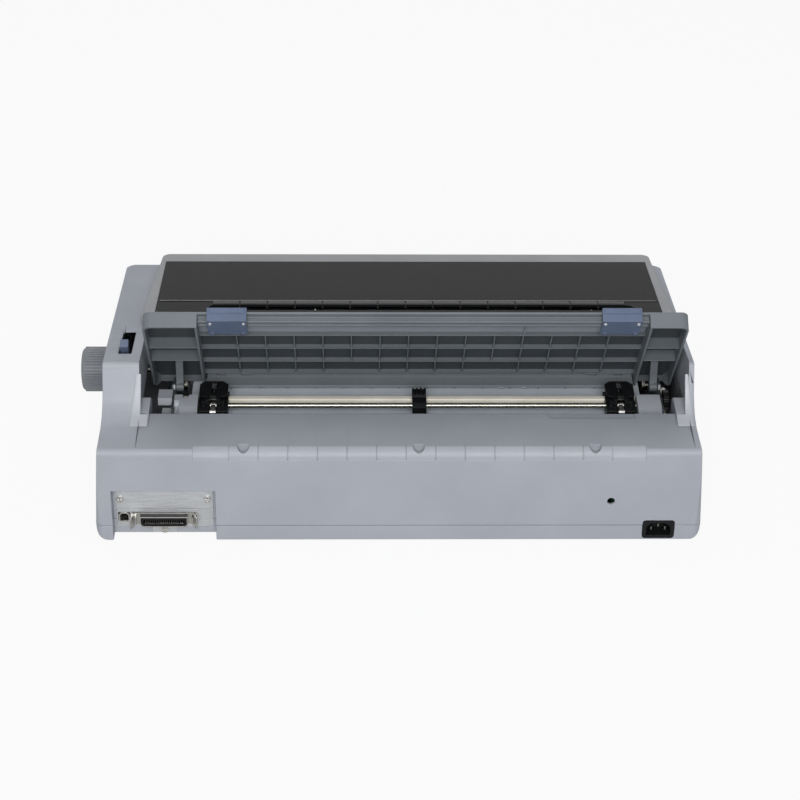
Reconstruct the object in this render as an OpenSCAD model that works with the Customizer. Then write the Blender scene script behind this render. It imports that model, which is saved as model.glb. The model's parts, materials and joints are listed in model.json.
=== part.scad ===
// Wide carriage dot matrix printer with its rear paper guide raised.
// Lengths in millimetres. X runs across the machine, Y from front to rear, Z up from the desk.

/* [Case] */
// width of the case at the desk
case_w = 606.6; // [590:1:640]
// width of the case at the shoulders
top_w = 595; // [580:1:600]
// depth of the case
case_d = 402; // [396:1:412]
// height of the rear ledge
ledge_z = 106.8; // [104:0.5:108]
// height of the rear crest of the shoulders
crest_z = 156.6; // [154:0.5:160]
// height of the seam between the two case halves
seam_z = 18.3; // [17:0.5:20]
// wall thickness of the case
wall = 2.8; // [2.4:0.1:3.2]
// height of the rubber feet below the case
foot_h = 1.4; // [1:0.1:3]
// slope of the top of the shoulders and of the printer cover, in degrees
top_slope = 7.4; // [7:0.1:7.6]
// width of the shoulder on the knob side
shoulder_left = 43.3; // [41:0.5:45]
// width of the shoulder on the far side
shoulder_right = 11.9; // [11:0.1:12.5]
// radius of the front corners of the shoulders
corner_r = 14; // [8:1:16]
// rear edge of the open bay
bay_y = 130; // [129:0.5:134]

/* [Printer cover] */
// distance of the cover's front edge from the front of the case
cover_in = 36; // [33:0.5:38]
// height of that front edge
cover_z = 130.4; // [130:0.2:132]
// rear edge of the printer cover behind the middle
cover_end = 14.5; // [13.5:0.5:15]
// start of the smoked window along the slope
window_from = 22; // [16:0.5:30]
// width of the cover behind the smoked window
window_back = 10.5; // [10:0.5:14]
// start of the paper slot in front of the end of the window
slot_back = 20; // [18:0.5:22]

/* [Paper guide] */
// height of the guide's pivot
pivot_z = 99; // [98.5:0.5:100]
// distance of the guide's pivot behind the middle
pivot_y = 66; // [65:0.5:67]
// tilt of the raised guide in degrees
guide_tilt = 54.8; // [50:0.2:60]
// reach of the guide beyond its pivot
guide_l = 121; // [118:0.5:124]
// gap between the wing and the bay on the knob side
wing_gap_left = 5.6; // [3:0.1:7]
// gap between the wing and the bay on the far side
wing_gap_right = 4.5; // [1.8:0.1:5]
// width of the wings
wing_w = 54; // [52:0.5:56]
// pitch of the ribs under the guide
rib_pitch = 28.9; // [28:0.1:29.2]

/* [Platen and feed] */
// place of the platen's axis in depth
platen_y = -2; // [-3:0.5:-1]
// height of the platen's axis
platen_z = 79; // [78:0.5:80]
// radius of the platen roller
platen_r = 17; // [16:0.2:17.2]
// distance of the side plate from the bay's side on the knob side
plate_gap_left = 31; // [30:0.5:32]
// distance of the side plate from the bay's side on the gear side
plate_gap_right = 22.4; // [21.4:0.2:23]
// radius of the paper feed knob
knob_r = 23.8; // [22:0.2:26]
// reach of the knob beyond the case
knob_out = 29.7; // [26:0.1:40]
// module of the gear teeth
gear_m = 1.2; // [1.15:0.01:1.2]

/* [Tractors] */
// place of the square drive bar in depth
bar_y = 81; // [80.5:0.1:81]
// height of the square drive bar
bar_z = 92; // [91.8:0.1:92.2]
// side of the square drive bar
bar_s = 6; // [5.6:0.1:6]
// place of the round support rod in depth
rod_y = 96.5; // [96:0.1:97]
// height of the round support rod
rod_z = 95; // [94.8:0.1:95.4]
// radius of the round support rod
rod_r = 2.5; // [2.2:0.1:2.7]
// width of a tractor
tractor_w = 30; // [29:0.5:31]
// distance of the parked tractors from the side plates
tractor_in = 25; // [25:1:60]

/* [Print carriage] */
// place of the carriage shaft in depth
shaft_y = -62; // [-63:0.5:-61]
// height of the carriage shaft
shaft_z = 60; // [59:0.5:61]
// radius of the carriage shaft
shaft_r = 6; // [5.5:0.1:6]
// distance of the parked carriage from its side plate
park_in = 31; // [31:0.5:34]

/* [Ports] */
// distance of the port recess's far edge from the side of the case
ports_in = 120; // [118:0.2:124]
// width of the port recess
ports_w = 102.8; // [102:0.2:104]
// height of the port recess
ports_h = 59.3; // [58:0.2:62]
// depth of the port recess
ports_d = 13; // [12:0.2:14]
// distance of the mains inlet's centre from the side of the case
inlet_in = 42.6; // [40:0.2:60]
// height of the centre of the mains inlet
inlet_z = 13.4; // [13:0.2:14]

/* [Controls] */
// distance of the first control button from the bay's side
button_in = 140; // [130:1:160]
// pitch of the control buttons
button_pitch = 30; // [26:1:34]

/* [Hidden] */

hd = case_d / 2;
left_in = case_w / 2 - shoulder_left;
right_in = shoulder_right - case_w / 2;
fr_l = left_in - plate_gap_left;
fr_r = right_in + plate_gap_right;
mech_x = (fr_l + fr_r) / 2;
frame_half = (fr_l - fr_r) / 2;
wing_left = left_in - wing_gap_left;
wing_right = right_in + wing_gap_right;
wing_w2 = wing_w * 0.72;
knob_end = case_w / 2 + knob_out;
tractor_x = fr_l - tractor_in - tractor_w;
park_x = fr_r + park_in;
button_x = left_in - button_in;
cover_y = cover_in - hd;
cover_l = (cover_end - cover_y) / cos(top_slope);
window_to = cover_l - window_back;
slot_from = window_to - slot_back;
line_pitch = 29.1;
ports_x = case_w / 2 - ports_in;
inlet_x = inlet_in - case_w / 2;
pf = hd - ports_d;
board_r = ports_x - 121.3;
power_r = inlet_x - 31.3;
power_l = inlet_x + 138.7;
foot_x = case_w / 2 - 41.3;
foot_y = hd - 41;
port_x = ports_x + 52.2;
usb_x = ports_x + 92.3;
port_z = 20.3;
screw_x = [ports_x + 95.5, ports_x + 8.4];
screw_z = 43.5;
off_x = knob_out / 2;
play = 0.4;
seam_gap = 0.25;
foot_r = 11;
deg = top_slope;
front_top = 46 - hd;
front_z = crest_z - (111 - front_top) * tan(deg);
facet_a = atan2(10.8, 15);

grey = [0.60, 0.61, 0.63];
dark = [0.13, 0.13, 0.14];
steel = [0.72, 0.73, 0.74];
blue = [0.36, 0.42, 0.58];
light = [0.70, 0.71, 0.73];
cream = [0.82, 0.80, 0.74];

function unit(v) = v / norm(v);
function left_of(a, b) = let (d = unit(b - a)) [-d[1], d[0]];
function corner_in(p, i, t) = let (n = len(p), a = p[(i + n - 1) % n], b = p[i], c = p[(i + 1) % n],
    u = left_of(a, b), v = left_of(b, c)) b + t * (u + v) / (1 + u * v);
function inset(p, t) = [for (i = [0 : len(p) - 1]) corner_in(p, i, t)];
function arc(c, r, a0, a1, n = 5) = [for (i = [0 : n]) c + r * [cos(a0 + (a1 - a0) * i / n),
    sin(a0 + (a1 - a0) * i / n)]];
function box_pts(x0, x1, y0, y1, r) = concat(arc([x1 - r, y0 + r], r, -90, 0),
    arc([x1 - r, y1 - r], r, 0, 90),
    arc([x0 + r, y1 - r], r, 90, 180), arc([x0 + r, y0 + r], r, 180, 270));
function shoulder_z(y) = crest_z + (y - 111) * tan(deg);

module bx(x, y, z) {
    translate([x[0], y[0], z[0]]) cube([x[1] - x[0], y[1] - y[0], z[1] - z[0]]);
}
module along_x(x) {
    translate([x[0], 0, 0]) rotate([90, 0, 90]) linear_extrude(x[1] - x[0]) children();
}
module along_y(y) {
    translate([0, y[1], 0]) rotate([90, 0, 0]) linear_extrude(y[1] - y[0]) children();
}
module xrod(y, z, r, x) {
    translate([x[0], y, z]) rotate([0, 90, 0]) cylinder(r = r, h = x[1] - x[0], $fn = 48);
}
module yrod(x, z, r, y) {
    translate([x, y[1], z]) rotate([90, 0, 0]) cylinder(r = r, h = y[1] - y[0], $fn = 48);
}
module placed() {
    translate([-off_x, 0, 0]) children();
}

// ---- the case ----

// side view of the shoulders, as [depth, height]
side_pts = concat(
    [[-hd, foot_h], [hd, foot_h]],
    arc([hd - 7.4, ledge_z - 6.2], 6, 0, 90),
    [[158, ledge_z + 0.2], [143, ledge_z + 4.2], [133, ledge_z + 11.4], [126.5, ledge_z + 19.5],
        [118, crest_z - 5]],
    arc([111.6, crest_z - 5.2], 5.2, 18, 90, 4),
    [[front_top, front_z], [front_top - 15, front_z - 10.8], [-hd, front_z - 56.3]]);
// side view of the part below the ledge
low_pts = concat(
    [[-hd, foot_h], [hd, foot_h]],
    arc([hd - 7.4, ledge_z - 6.2], 6, 0, 90),
    [[bay_y - 40, ledge_z - 0.2], [front_top - 17, ledge_z - 0.2], [-hd, front_z - 56.3]]);
// front view of the case
front_pts = concat(arc([case_w / 2 - 12.4, foot_h + 12], 12, -90, 0),
    [[case_w / 2, seam_z], [top_w / 2, ledge_z], [top_w / 2 - 1, crest_z + 10],
        [-top_w / 2 + 1, crest_z + 10],
     [-top_w / 2, ledge_z], [-case_w / 2, seam_z]], arc([-case_w / 2 + 12.4, foot_h + 12], 12, 180, 270));
plan_pts = box_pts(-case_w / 2 - 1, case_w / 2 + 1, -hd, hd, 9);

// what is taken off the front corners of the shoulders
module corner_cut(t) {
    for (s = [-1, 1]) translate([s * (case_w / 2 - 2.3 - corner_r), front_top - 7.5, front_z - 5.4])
        rotate([facet_a, 0, 0]) difference() {
            bx(s > 0 ? [0, corner_r + 20] : [-corner_r - 20, 0], [-60, 60], [-corner_r, 20]);
            yrod(0, -corner_r, corner_r - t, [-61, 61]);
        }
}
module body(profile, x, t) {
    intersection() {
        along_x(x) polygon(t > 0 ? inset(profile, t) : profile);
        along_y([-hd - 1, hd + 1]) polygon(t > 0 ? inset(front_pts, t) : front_pts);
        linear_extrude(200) polygon(t > 0 ? inset(plan_pts, t) : plan_pts);
    }
}
module case_outside(x_out) {
    body(low_pts, [-x_out, x_out], 0);
    intersection() {
        body(side_pts, [-x_out, x_out], 0);
        union() {
            bx([left_in, x_out], [-hd, hd], [0, 200]);
            bx([-x_out, right_in], [-hd, hd], [0, 200]);
            bx([left_in - 12, x_out], [-hd, 18], [0, 200]);
            bx([-x_out, right_in + 15.4], [-hd, 18], [0, 200]);
            bx([-x_out, x_out], [-hd, front_top + 5], [0, 200]);
        }
    }
}
module case_inside(x_out) {
    body(low_pts, [-x_out, x_out], wall);
    intersection() {
        body(side_pts, [-x_out, x_out], wall);
        union() {
            bx([left_in + wall, x_out], [-hd, hd], [0, 200]);
            bx([-x_out, right_in - wall * 0.8], [-hd, hd], [0, 200]);
            bx([left_in - 12 + wall, x_out], [-hd, 18 - wall], [0, 200]);
            bx([-x_out, right_in + 15.4 - wall], [-hd, 18 - wall], [0, 200]);
            bx([-x_out, x_out], [-hd, front_top + 5 - wall], [0, 200]);
        }
    }
}
module recess_cut() {
    bx([ports_x, ports_x + ports_w], [hd - ports_d, hd + 5], [-1, ports_h]);
}
module inlet_cut() {
    along_y([hd - 23, hd + 5])
        polygon(box_pts(inlet_x - 16.2, inlet_x + 16.2, inlet_z - 10.9, inlet_z + 10.9, 3.3));
}
module lower_case() {
    color(grey) difference() {
        union() {
            intersection() {
                difference() {
                    case_outside(400);
                    case_inside(400);
                }
                bx([-400, 400], [-300, 300], [0, seam_z - seam_gap]);
            }
            // port shelf wall
            bx([ports_x - 2.5, ports_x + ports_w + 2.5], [hd - ports_d - 2.4, hd - ports_d],
                [foot_h + 1, seam_z - seam_gap]);
            bx([ports_x - 2.5, ports_x], [hd - ports_d - 1, hd - 2], [foot_h + 1, seam_z - seam_gap]);
            bx([ports_x + ports_w, ports_x + ports_w + 2.5], [hd - ports_d - 1, hd - 2],
                [foot_h + 1, seam_z - seam_gap]);
            // posts under the mechanism and the boards
            for (x = [fr_r + 7, mech_x - 70, mech_x + 80, fr_l - 7]) for (y = [-118, 50])
                translate([x, y, foot_h + 1]) cylinder(r = 5, h = 8 - foot_h - 1, $fn = 32);
            for (x = [board_r + 8, board_r + 114]) for (y = [70, pf - 10]) translate([x, y, foot_h + 1])
                cylinder(r = 4, h = 12 - foot_h - 1, $fn = 32);
            for (x = [power_r + 8, power_l - 8]) for (y = [70, hd - 33]) translate([x, y, foot_h + 1])
                cylinder(r = 4, h = 12 - foot_h - 1, $fn = 32);
        }
        recess_cut();
        inlet_cut();
        // opening behind the port plates
        bx([ports_x + 5, ports_x + ports_w - 3], [hd - ports_d - 5, hd - ports_d + 1], [9.8, seam_z + 1]);
        yrod(port_x, 6.7, 1.65, [hd - ports_d - 5, hd - ports_d + 1]);
        // seats of the rubber feet
        for (x = [-1, 1]) for (y = [-1, 1]) translate([x * foot_x, y * foot_y, -1])
            cylinder(r = foot_r + 0.05, h = foot_h + 1.5, $fn = 48);
    }
}
module rubber_feet() {
    color(dark) for (x = [-1, 1]) for (y = [-1, 1]) translate([x * foot_x, y * foot_y, 0])
        cylinder(r = foot_r, h = foot_h + 0.5, $fn = 48);
}

strip_l = right_in + 48.8;
strip_r = left_in - 56.2;
line_x = left_in - 91.4;
line_n = floor((line_x - strip_l) / line_pitch) - 1;
notch_x = [left_in - 105.8, (left_in + right_in) / 2 - 2.7, right_in + 98.7];
module strip_cut(deep) {
    polygon(concat([[hd - 1.7 - deep, ledge_z - 11.4 + (deep > 0 ? 0.6 : 0)],
        [hd + 4, ledge_z - 11.4 + (deep > 0 ? 0.6 : 0)], [hd + 4, ledge_z + 4], [hd - 12.8, ledge_z + 4]],
        [for (i = [0 : 6]) [hd - 12.7, ledge_z - 11] + (11 - deep) * [sin(i * 15), cos(i * 15)]]));
}
module upper_case() {
    color(grey) difference() {
        union() {
            difference() {
                intersection() {
                    difference() {
                        case_outside(400);
                        corner_cut(0);
                        difference() {
                            case_inside(400);
                            corner_cut(wall);
                        }
                    }
                    bx([-400, 400], [-300, 300], [seam_z + seam_gap, 200]);
                }
                // mouth under the printer cover
                bx([right_in + 15.4, left_in - 12], [front_top + 5, 18], [ledge_z - 8, 200]);
                // open bay behind the platen
                bx([right_in, left_in], [17, bay_y], [ledge_z - 8, ledge_z + 3]);
            }
            // light cheeks at the rear of the bay
            cheek([left_in, left_in + 9], crest_z - 2);
            cheek([left_in - 9, left_in + 0.5], 112);
            cheek([-top_w / 2 + 1.2, right_in], crest_z - 2);
            cheek([right_in - 0.5, right_in + 12], 112);
            // bay walls
            along_x([left_in - 9, left_in - 6.5])
                polygon([[100, 62], [bay_y + 0.5, 62], [bay_y + 2, ledge_z - 1], [100, ledge_z - 1]]);
            along_x([right_in + 9.5, right_in + 12])
                polygon([[100, 62], [bay_y + 0.5, 62], [bay_y + 2, ledge_z - 1], [100, ledge_z - 1]]);
            bx([right_in + 9.5, left_in - 6.5], [bay_y, bay_y + 2.4], [92, ledge_z - 1]);
            // port recess
            bx([ports_x - 2.5, ports_x + ports_w + 2.5], [hd - ports_d - 2.4, hd - 1.2],
                [seam_z + seam_gap, ports_h + 2.5]);
            // lugs that carry the printer cover
            for (x = [left_in - 8, right_in + 8.4]) along_x([x, x + 3])
                polygon(concat([[10.6, 140], [16.4, 140]], arc(c_hinge, 2.9, 0, 180, 8)));
            // closed ground of the paper rest and its pockets
            bx([strip_l - 2, strip_r + 2], [hd - 19, hd - wall - 0.1],
                [ledge_z - 14, ledge_z - wall + 0.2]);
            // lugs of the power switch
            for (s = [-1, 1]) bx([switch_x + s * 9.1 - 1.5, switch_x + s * 9.1 + 1.5],
                [-hd + 1.5, -hd + 8], [36, 44]);
            // pin of the release lever
            xrod(64, 118, 3, [left_in + 1, left_in + 26]);
        }
        recess_cut();
        inlet_cut();
        bx([ports_x + 5, ports_x + ports_w - 3], [hd - ports_d - 5, hd - ports_d + 1], [seam_z - 1, 29]);
        bx([ports_x + 16, ports_x + ports_w - 16], [hd - ports_d - 5, hd - ports_d + 1],
            [34, ports_h - 6]);
        for (x = screw_x) yrod(x, screw_z, 1.65, [hd - ports_d - 5, hd - ports_d + 1]);
        for (x = notch_x) translate([x, hd - 10, ledge_z - 7]) linear_extrude(20)
            polygon(concat([[-5.75, -4.5], [5.75, -4.5]], arc([0, 0], 5.75, 0, 180, 10)));
        // ribbed paper rest along the rear edge
        along_x([strip_l, strip_r]) strip_cut(0);
        for (i = [0 : line_n]) let (x = line_x - i * line_pitch) {
            along_x([x - 0.4, x + 0.4]) strip_cut(0.6);
            bx([x - 0.35, x + 0.35], [148, hd - 11], [ledge_z - 0.25, ledge_z + 1]);
        }
        // shallow field on the ledge
        bx([right_in + 53.4, right_in + 141.4], [bay_y - 1, 139.3], [ledge_z - 0.9, ledge_z + 0.6]);
        // service hole
        yrod(inlet_x + 49.8, 47.5, 3.9, [hd - 8, hd + 2]);
        // knob shaft
        xrod(platen_y, platen_z, 6, [left_in + 20, case_w]);
        // slot and ramp of the release lever
        bx([left_in + 10, left_in + 23], [35, 92], [126, 170]);
        along_x([left_in + 9, left_in + 22])
            polygon([[18, shoulder_z(18) + 0.1], [35.2, shoulder_z(35) - 3.6], [35.2, 170], [18, 170]]);
        for (i = [0 : 9]) translate([left_in + 23.6, 30 + i * 6.5, shoulder_z(30 + i * 6.5) - 0.35])
            rotate([deg, 0, 0]) cube([9.5, 0.6, 2]);
        // pivots of the printer cover
        xrod(c_hinge[0], c_hinge[1], 2.06, [left_in - 9, left_in - 4]);
        xrod(c_hinge[0], c_hinge[1], 2.06, [right_in + 7, right_in + 12]);
        for (s = [-1, 1]) xrod(-hd + 5, 40, 1.65, [switch_x + s * 9.1 - 2, switch_x + s * 9.1 + 2]);
        // front openings
        xrod(-hd + 1.2, 27.9, 0.86, [front_l - 3, front_r + 3]);
        bx([front_l, front_r], [-hd - 5, -hd + wall + 1], [26, 62]);
        bx([switch_x - 7.4, switch_x + 7.4], [-hd - 5, -hd + wall + 1], [27, 53]);
        for (i = [0 : 3]) on_front(button_x + i * button_pitch) bx([-8.4, 8.4], [-4.9, 4.9], [-6, 6]);
        for (i = [0 : 3]) on_front(button_x + i * button_pitch) translate([0, 9, -6])
            cylinder(r = 1.6, h = 12, $fn = 24);
    }
}
module cheek(x, top) {
    intersection() {
        along_x(x) polygon([[108, ledge_z - 5], [144, ledge_z - 5], [141, ledge_z + 0.5],
            [112.6, crest_z - 2], [108, crest_z - 2]]);
        bx([-400, 400], [-300, 300], [0, top]);
    }
}

// ---- printer cover ----
module on_cover() {
    translate([0, cover_y, cover_z]) rotate([deg, 0, 0]) children();
}
c_hinge = [cover_end - 1, 147.6];
cover_l0 = left_in - 2.3;
cover_r0 = right_in + 6.9;
cover_pts = concat([[left_in + 6.8, cover_l], [right_in + 0.9, cover_l]],
    arc([cover_r0 + 10, 10], 10, 180, 270, 6), arc([cover_l0 - 10, 10], 10, 270, 360, 6));
module cover_frame() {
    color([0.56, 0.56, 0.57]) union() {
        on_cover() difference() {
            translate([0, 0, -8.6]) linear_extrude(8.6) polygon(cover_pts);
            translate([0, 0, -20]) linear_extrude(17.4) polygon(inset(cover_pts, 2.6));
            bx([right_in + 13, left_in - 7], [window_from, window_to], [-10, 5]);
            bx([right_in + 5.2, left_in + 2.5], [cover_l - 31, cover_l + 9], [-20, -2.6]);
        }
        // window ledge and front lip
        on_cover() difference() {
            bx([right_in + 10, left_in - 4.6], [window_from - 3, window_to + 3], [-4.6, -2.5]);
            bx([right_in + 16, left_in - 10], [window_from + 3, window_to - 3], [-10, 5]);
        }
        on_cover() bx([cover_r0 + 12, cover_l0 - 12], [0, 2.6], [-11.8, -8.5]);
        // hinge pins
        for (s = [0, 1]) let (x = s == 0 ? left_in - 12 : right_in + 12) {
            bx([x, x + (s == 0 ? 3.6 : 3)], [10, cover_y + cover_l * cos(deg) - 0.5],
                [145.4, cover_z + (cover_l - 8) * sin(deg) - 0.8]);
            xrod(c_hinge[0], c_hinge[1], 2, s == 0 ? [x, x + 6.6] : [x - 3.4, x]);
        }
    }
}
module cover_window() {
    color([0.22, 0.22, 0.23, 0.8]) on_cover() difference() {
        union() {
            difference() {
                bx([right_in + 13.2, left_in - 7.2], [window_from + 0.2, window_to - 0.2], [-2.4, -0.3]);
                translate([0, 0, -5]) linear_extrude(10)
                    polygon(box_pts(right_in + 42.1, left_in - 62.3, slot_from, slot_from + 14, 6));
            }
            for (i = [0 : line_n]) let (x = line_x - 2.9 - i * line_pitch)
                bx([x - 0.7, x + 0.7], [slot_from - 12, slot_from + 5], [-4.2, -1.2]);
            bx([right_in + 14, left_in - 8], [slot_from - 13.6, slot_from - 12.4], [-1.2, 0.1]);
        }
    }
}

// ---- paper guide ----
module on_guide() {
    translate([0, pivot_y, pivot_z]) rotate([guide_tilt, 0, 0]) children();
}
skin = 28.4;
under = 26.2;
tips = 21.7;
wing_low = 11.5;
guide_rows = [-15.3, 14.6, 47.4, 79];
wing_pts_l = concat([[wing_left - wing_w, -32.7], [wing_left - 6, -32.7], [wing_left, -22]],
    arc([wing_left - 9, guide_l - 9], 9, 0, 90), [[wing_left - wing_w, guide_l]]);
wing_pts_r = concat([[wing_right, -22], [wing_right + 6, -32.7], [wing_right + wing_w2, -32.7],
    [wing_right + wing_w2, guide_l]], arc([wing_right + 9, guide_l - 9], 9, 90, 180));
module wing(pts) {
    difference() {
        translate([0, 0, wing_low]) linear_extrude(skin - wing_low) polygon(pts);
        translate([0, 0, wing_low - 5]) linear_extrude(under - wing_low + 5) polygon(inset(pts, 2.4));
        // rounded lower ends
        along_x([-400, 400]) polygon([[-40, wing_low - 6], [-18, wing_low - 6], [-28, 16], [-33, 23],
            [-40, 24]]);
    }
}
panel_l = wing_left - wing_w + 0.5;
panel_r = wing_right + wing_w2 - 0.5;
rib_x = panel_l - 37.4;
module paper_guide() {
    color([0.45, 0.48, 0.50]) on_guide() union() {
        wing(wing_pts_l);
        wing(wing_pts_r);
        bx([panel_r, panel_l], [-16.1, guide_l - 0.4], [under, skin]);
        for (y = guide_rows) bx([panel_r, panel_l], [y - 0.8, y + 0.8], [tips, under + 0.5]);
        for (i = [0 : floor((rib_x - panel_r) / rib_pitch) - 1])
            let (x = rib_x - i * rib_pitch, short = i == 4 || i == 9)
            bx([x - 0.6, x + 0.6], [short ? guide_rows[1] : guide_rows[0], guide_rows[3]],
                [tips + 0.2, under + 0.5]);
        bx([panel_r + 121.5, panel_r + 122.7], [guide_rows[3], 98], [23.4, under + 0.5]);
        // ridges that carry the slide rail
        bx([panel_r, panel_l], [97, 99.6], [24.4, under + 0.5]);
        // cross ribs and corner pieces inside the wings
        for (w = [[wing_left - wing_w + 1, wing_left - 1], [wing_right + 1, wing_right + wing_w2 - 1]])
            for (y = [33, 64])
            bx(w, [y - 0.8, y + 0.8], [wing_low + 3, under + 0.5]);
        // arms and pivot pins
        arm([mech_x + frame_half - 8, mech_x + frame_half - play], 1);
        arm([mech_x - frame_half + play, mech_x - frame_half + 8], -1);
    }
}
module arm(x, s) {
    along_x(x) polygon(concat([[10, under + 0.4], [30, under + 0.4], [22, 18], [12, 10]],
        arc([0, 0], 5, 30, -150, 8), [[-5.5, 2], [2, 12]]));
    xrod(0, 0, 3, s > 0 ? [x[1] - 1, x[1] + 4.4] : [x[0] - 4.4, x[0] + 1]);
}
module guide_rail() {
    color([0.50, 0.53, 0.56]) on_guide() difference() {
        bx([panel_r + 0.7, panel_l - 0.7], [104, 116], [19.6, under]);
        bx([panel_r - 1, panel_l + 1], [108, 112], [18, 22]);
        bx([panel_r - 1, panel_l + 1], [114.6, 117], [21.6, 24]);
    }
}
module edge_guide(x) {
    color(blue) on_guide() difference() {
        union() {
            bx(x, [93, guide_l + 3.4], [16.6, 19.2]);
            bx(x, [guide_l + 0.8, guide_l + 3.4], [16.6, skin + 3]);
            bx(x, [103, guide_l + 3.4], [skin + 0.5, skin + 3]);
            bx([x[0] + 2, x[1] - 2], [guide_l + 2, guide_l + 4.6], [skin - 3, skin + 2]);
            for (s = [x[0] + 3.4, x[1] - 5.8]) bx([s, s + 2.4], [92, 97], [15.4, 19]);
        }
        for (s = [x[0] + 3.2, x[1] - 3.2]) translate([s, 118, 15]) cylinder(r = 1.1, h = 3, $fn = 24);
    }
}
module edge_guide_left() {
    edge_guide([panel_l - 49.6, panel_l - 10.2]);
}
module edge_guide_right() {
    edge_guide([panel_r + 8.6, panel_r + 48]);
}

// ---- front ----
front_l = right_in + 61.4;
front_r = left_in - 170;
switch_x = 35.3 - case_w / 2;
front_a = atan2(45.5, 31);
module on_front(x) {
    translate([x, 15.5 - hd, front_z - 33.55]) rotate([front_a, 0, 0]) children();
}
module front_cover() {
    color(grey) difference() {
        union() {
            bx([front_l + 0.6, front_r - 0.6], [-hd, -hd + 2.4], [26.5, 61.4]);
            xrod(-hd + 1.2, 27.9, 0.8, [front_l - 2.6, front_r + 2.6]);
        }
        for (x = [front_l + 40, front_r - 60]) bx([x, x + 20], [-hd - 1, -hd + 1.1], [55, 62]);
    }
}
module button(i) {
    color(light) on_front(button_x + i * button_pitch) {
        bx([-8, 8], [-4.5, 4.5], [-3.4, 1.6]);
        bx([-3, 3], [-2, 2], [-6, -3]);
    }
}
module button_a() { button(0); }
module button_b() { button(1); }
module button_c() { button(2); }
module button_d() { button(3); }
module panel_board() {
    color([0.12, 0.35, 0.22]) union() {
        on_front(button_x + 1.5 * button_pitch) bx([-62, 62], [-9, 12.6], [-9.6, -8]);
        for (i = [0 : 3]) on_front(button_x + i * button_pitch) {
            translate([0, 9, -8.5]) cylinder(r = 1.5, h = 8.9, $fn = 24);
            bx([-3, 3], [-3, 3], [-8.2, -7.4]);
        }
        on_front(button_x + 1.5 * button_pitch) for (s = [-1, 1]) translate([s * 57, 9.8, -8.6])
            cylinder(r = 2, h = 5.7, $fn = 24);
    }
}
module power_switch() {
    color(dark) union() {
        along_x([switch_x - 6.6, switch_x + 6.6])
            polygon([[-hd + 0.2, 51], [-hd + 1.2, 40], [-hd + 2.4, 29], [-hd + 8, 29.6],
            [-hd + 8, 50.4]]);
        xrod(-hd + 5, 40, 1.6, [switch_x - 10, switch_x + 10]);
    }
}

// ---- gears ----
teeth_platen = 32;
teeth_idler = 20;
teeth_pinion = 10;
teeth_c = 24;
teeth_bar = 16;
function pitch_r(z) = gear_m * z / 2;
function polar(c, r, a) = c + r * [cos(a), sin(a)];
c_platen = [platen_y, platen_z];
c_feed = polar(c_platen, pitch_r(teeth_platen + teeth_idler), -52);
c_motor = polar(c_feed, pitch_r(teeth_idler + teeth_pinion), -52);
c_a = polar(c_feed, pitch_r(teeth_idler * 2), 30);
c_bar = [bar_y, bar_z];
gap_ab = norm(c_bar - c_a);
reach_a = pitch_r(teeth_idler + teeth_c);
reach_b = pitch_r(teeth_c + teeth_bar);
ab_turn = acos(min(1,
    (reach_a * reach_a + gap_ab * gap_ab - reach_b * reach_b) / (2 * reach_a * gap_ab)));
ab_dir = atan2(c_bar[1] - c_a[1], c_bar[0] - c_a[0]);
c_b = polar(c_a, reach_a, ab_dir - ab_turn);
function dir(a, b) = atan2(b[1] - a[1], b[0] - a[0]);
function meshed(rot, za, zb, phi) = phi + 180 - (0.5 - (phi - rot) * za / 360) * 360 / zb;
rot_platen = 0;
rot_feed = meshed(rot_platen, teeth_platen, teeth_idler, dir(c_platen, c_feed));
rot_motor = meshed(rot_feed, teeth_idler, teeth_pinion, dir(c_feed, c_motor));
rot_a = meshed(rot_feed, teeth_idler, teeth_idler, dir(c_feed, c_a));
rot_b = meshed(rot_a, teeth_idler, teeth_c, dir(c_a, c_b));
rot_bar = meshed(rot_b, teeth_c, teeth_bar, dir(c_b, c_bar));
gear_x = [mech_x - frame_half - 10, mech_x - frame_half - 4.6];
function tooth(z, k) = let (r = pitch_r(z), p = 360 / z, a = k * p)
    [polar([0, 0], r - 1.15 * gear_m, a - p * 0.33), polar([0, 0], r, a - p * 0.22),
        polar([0, 0], r + 0.85 * gear_m, a - p * 0.10),
     polar([0, 0], r + 0.85 * gear_m, a + p * 0.10), polar([0, 0], r, a + p * 0.22),
         polar([0, 0], r - 1.15 * gear_m, a + p * 0.33)];
module gear(c, z, rot, bore, x = gear_x) {
    along_x(x) translate(c) rotate(rot) difference() {
        polygon([for (k = [0 : z - 1]) each tooth(z, k)]);
        if (bore > 0) circle(r = bore, $fn = 48);
    }
}

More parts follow.
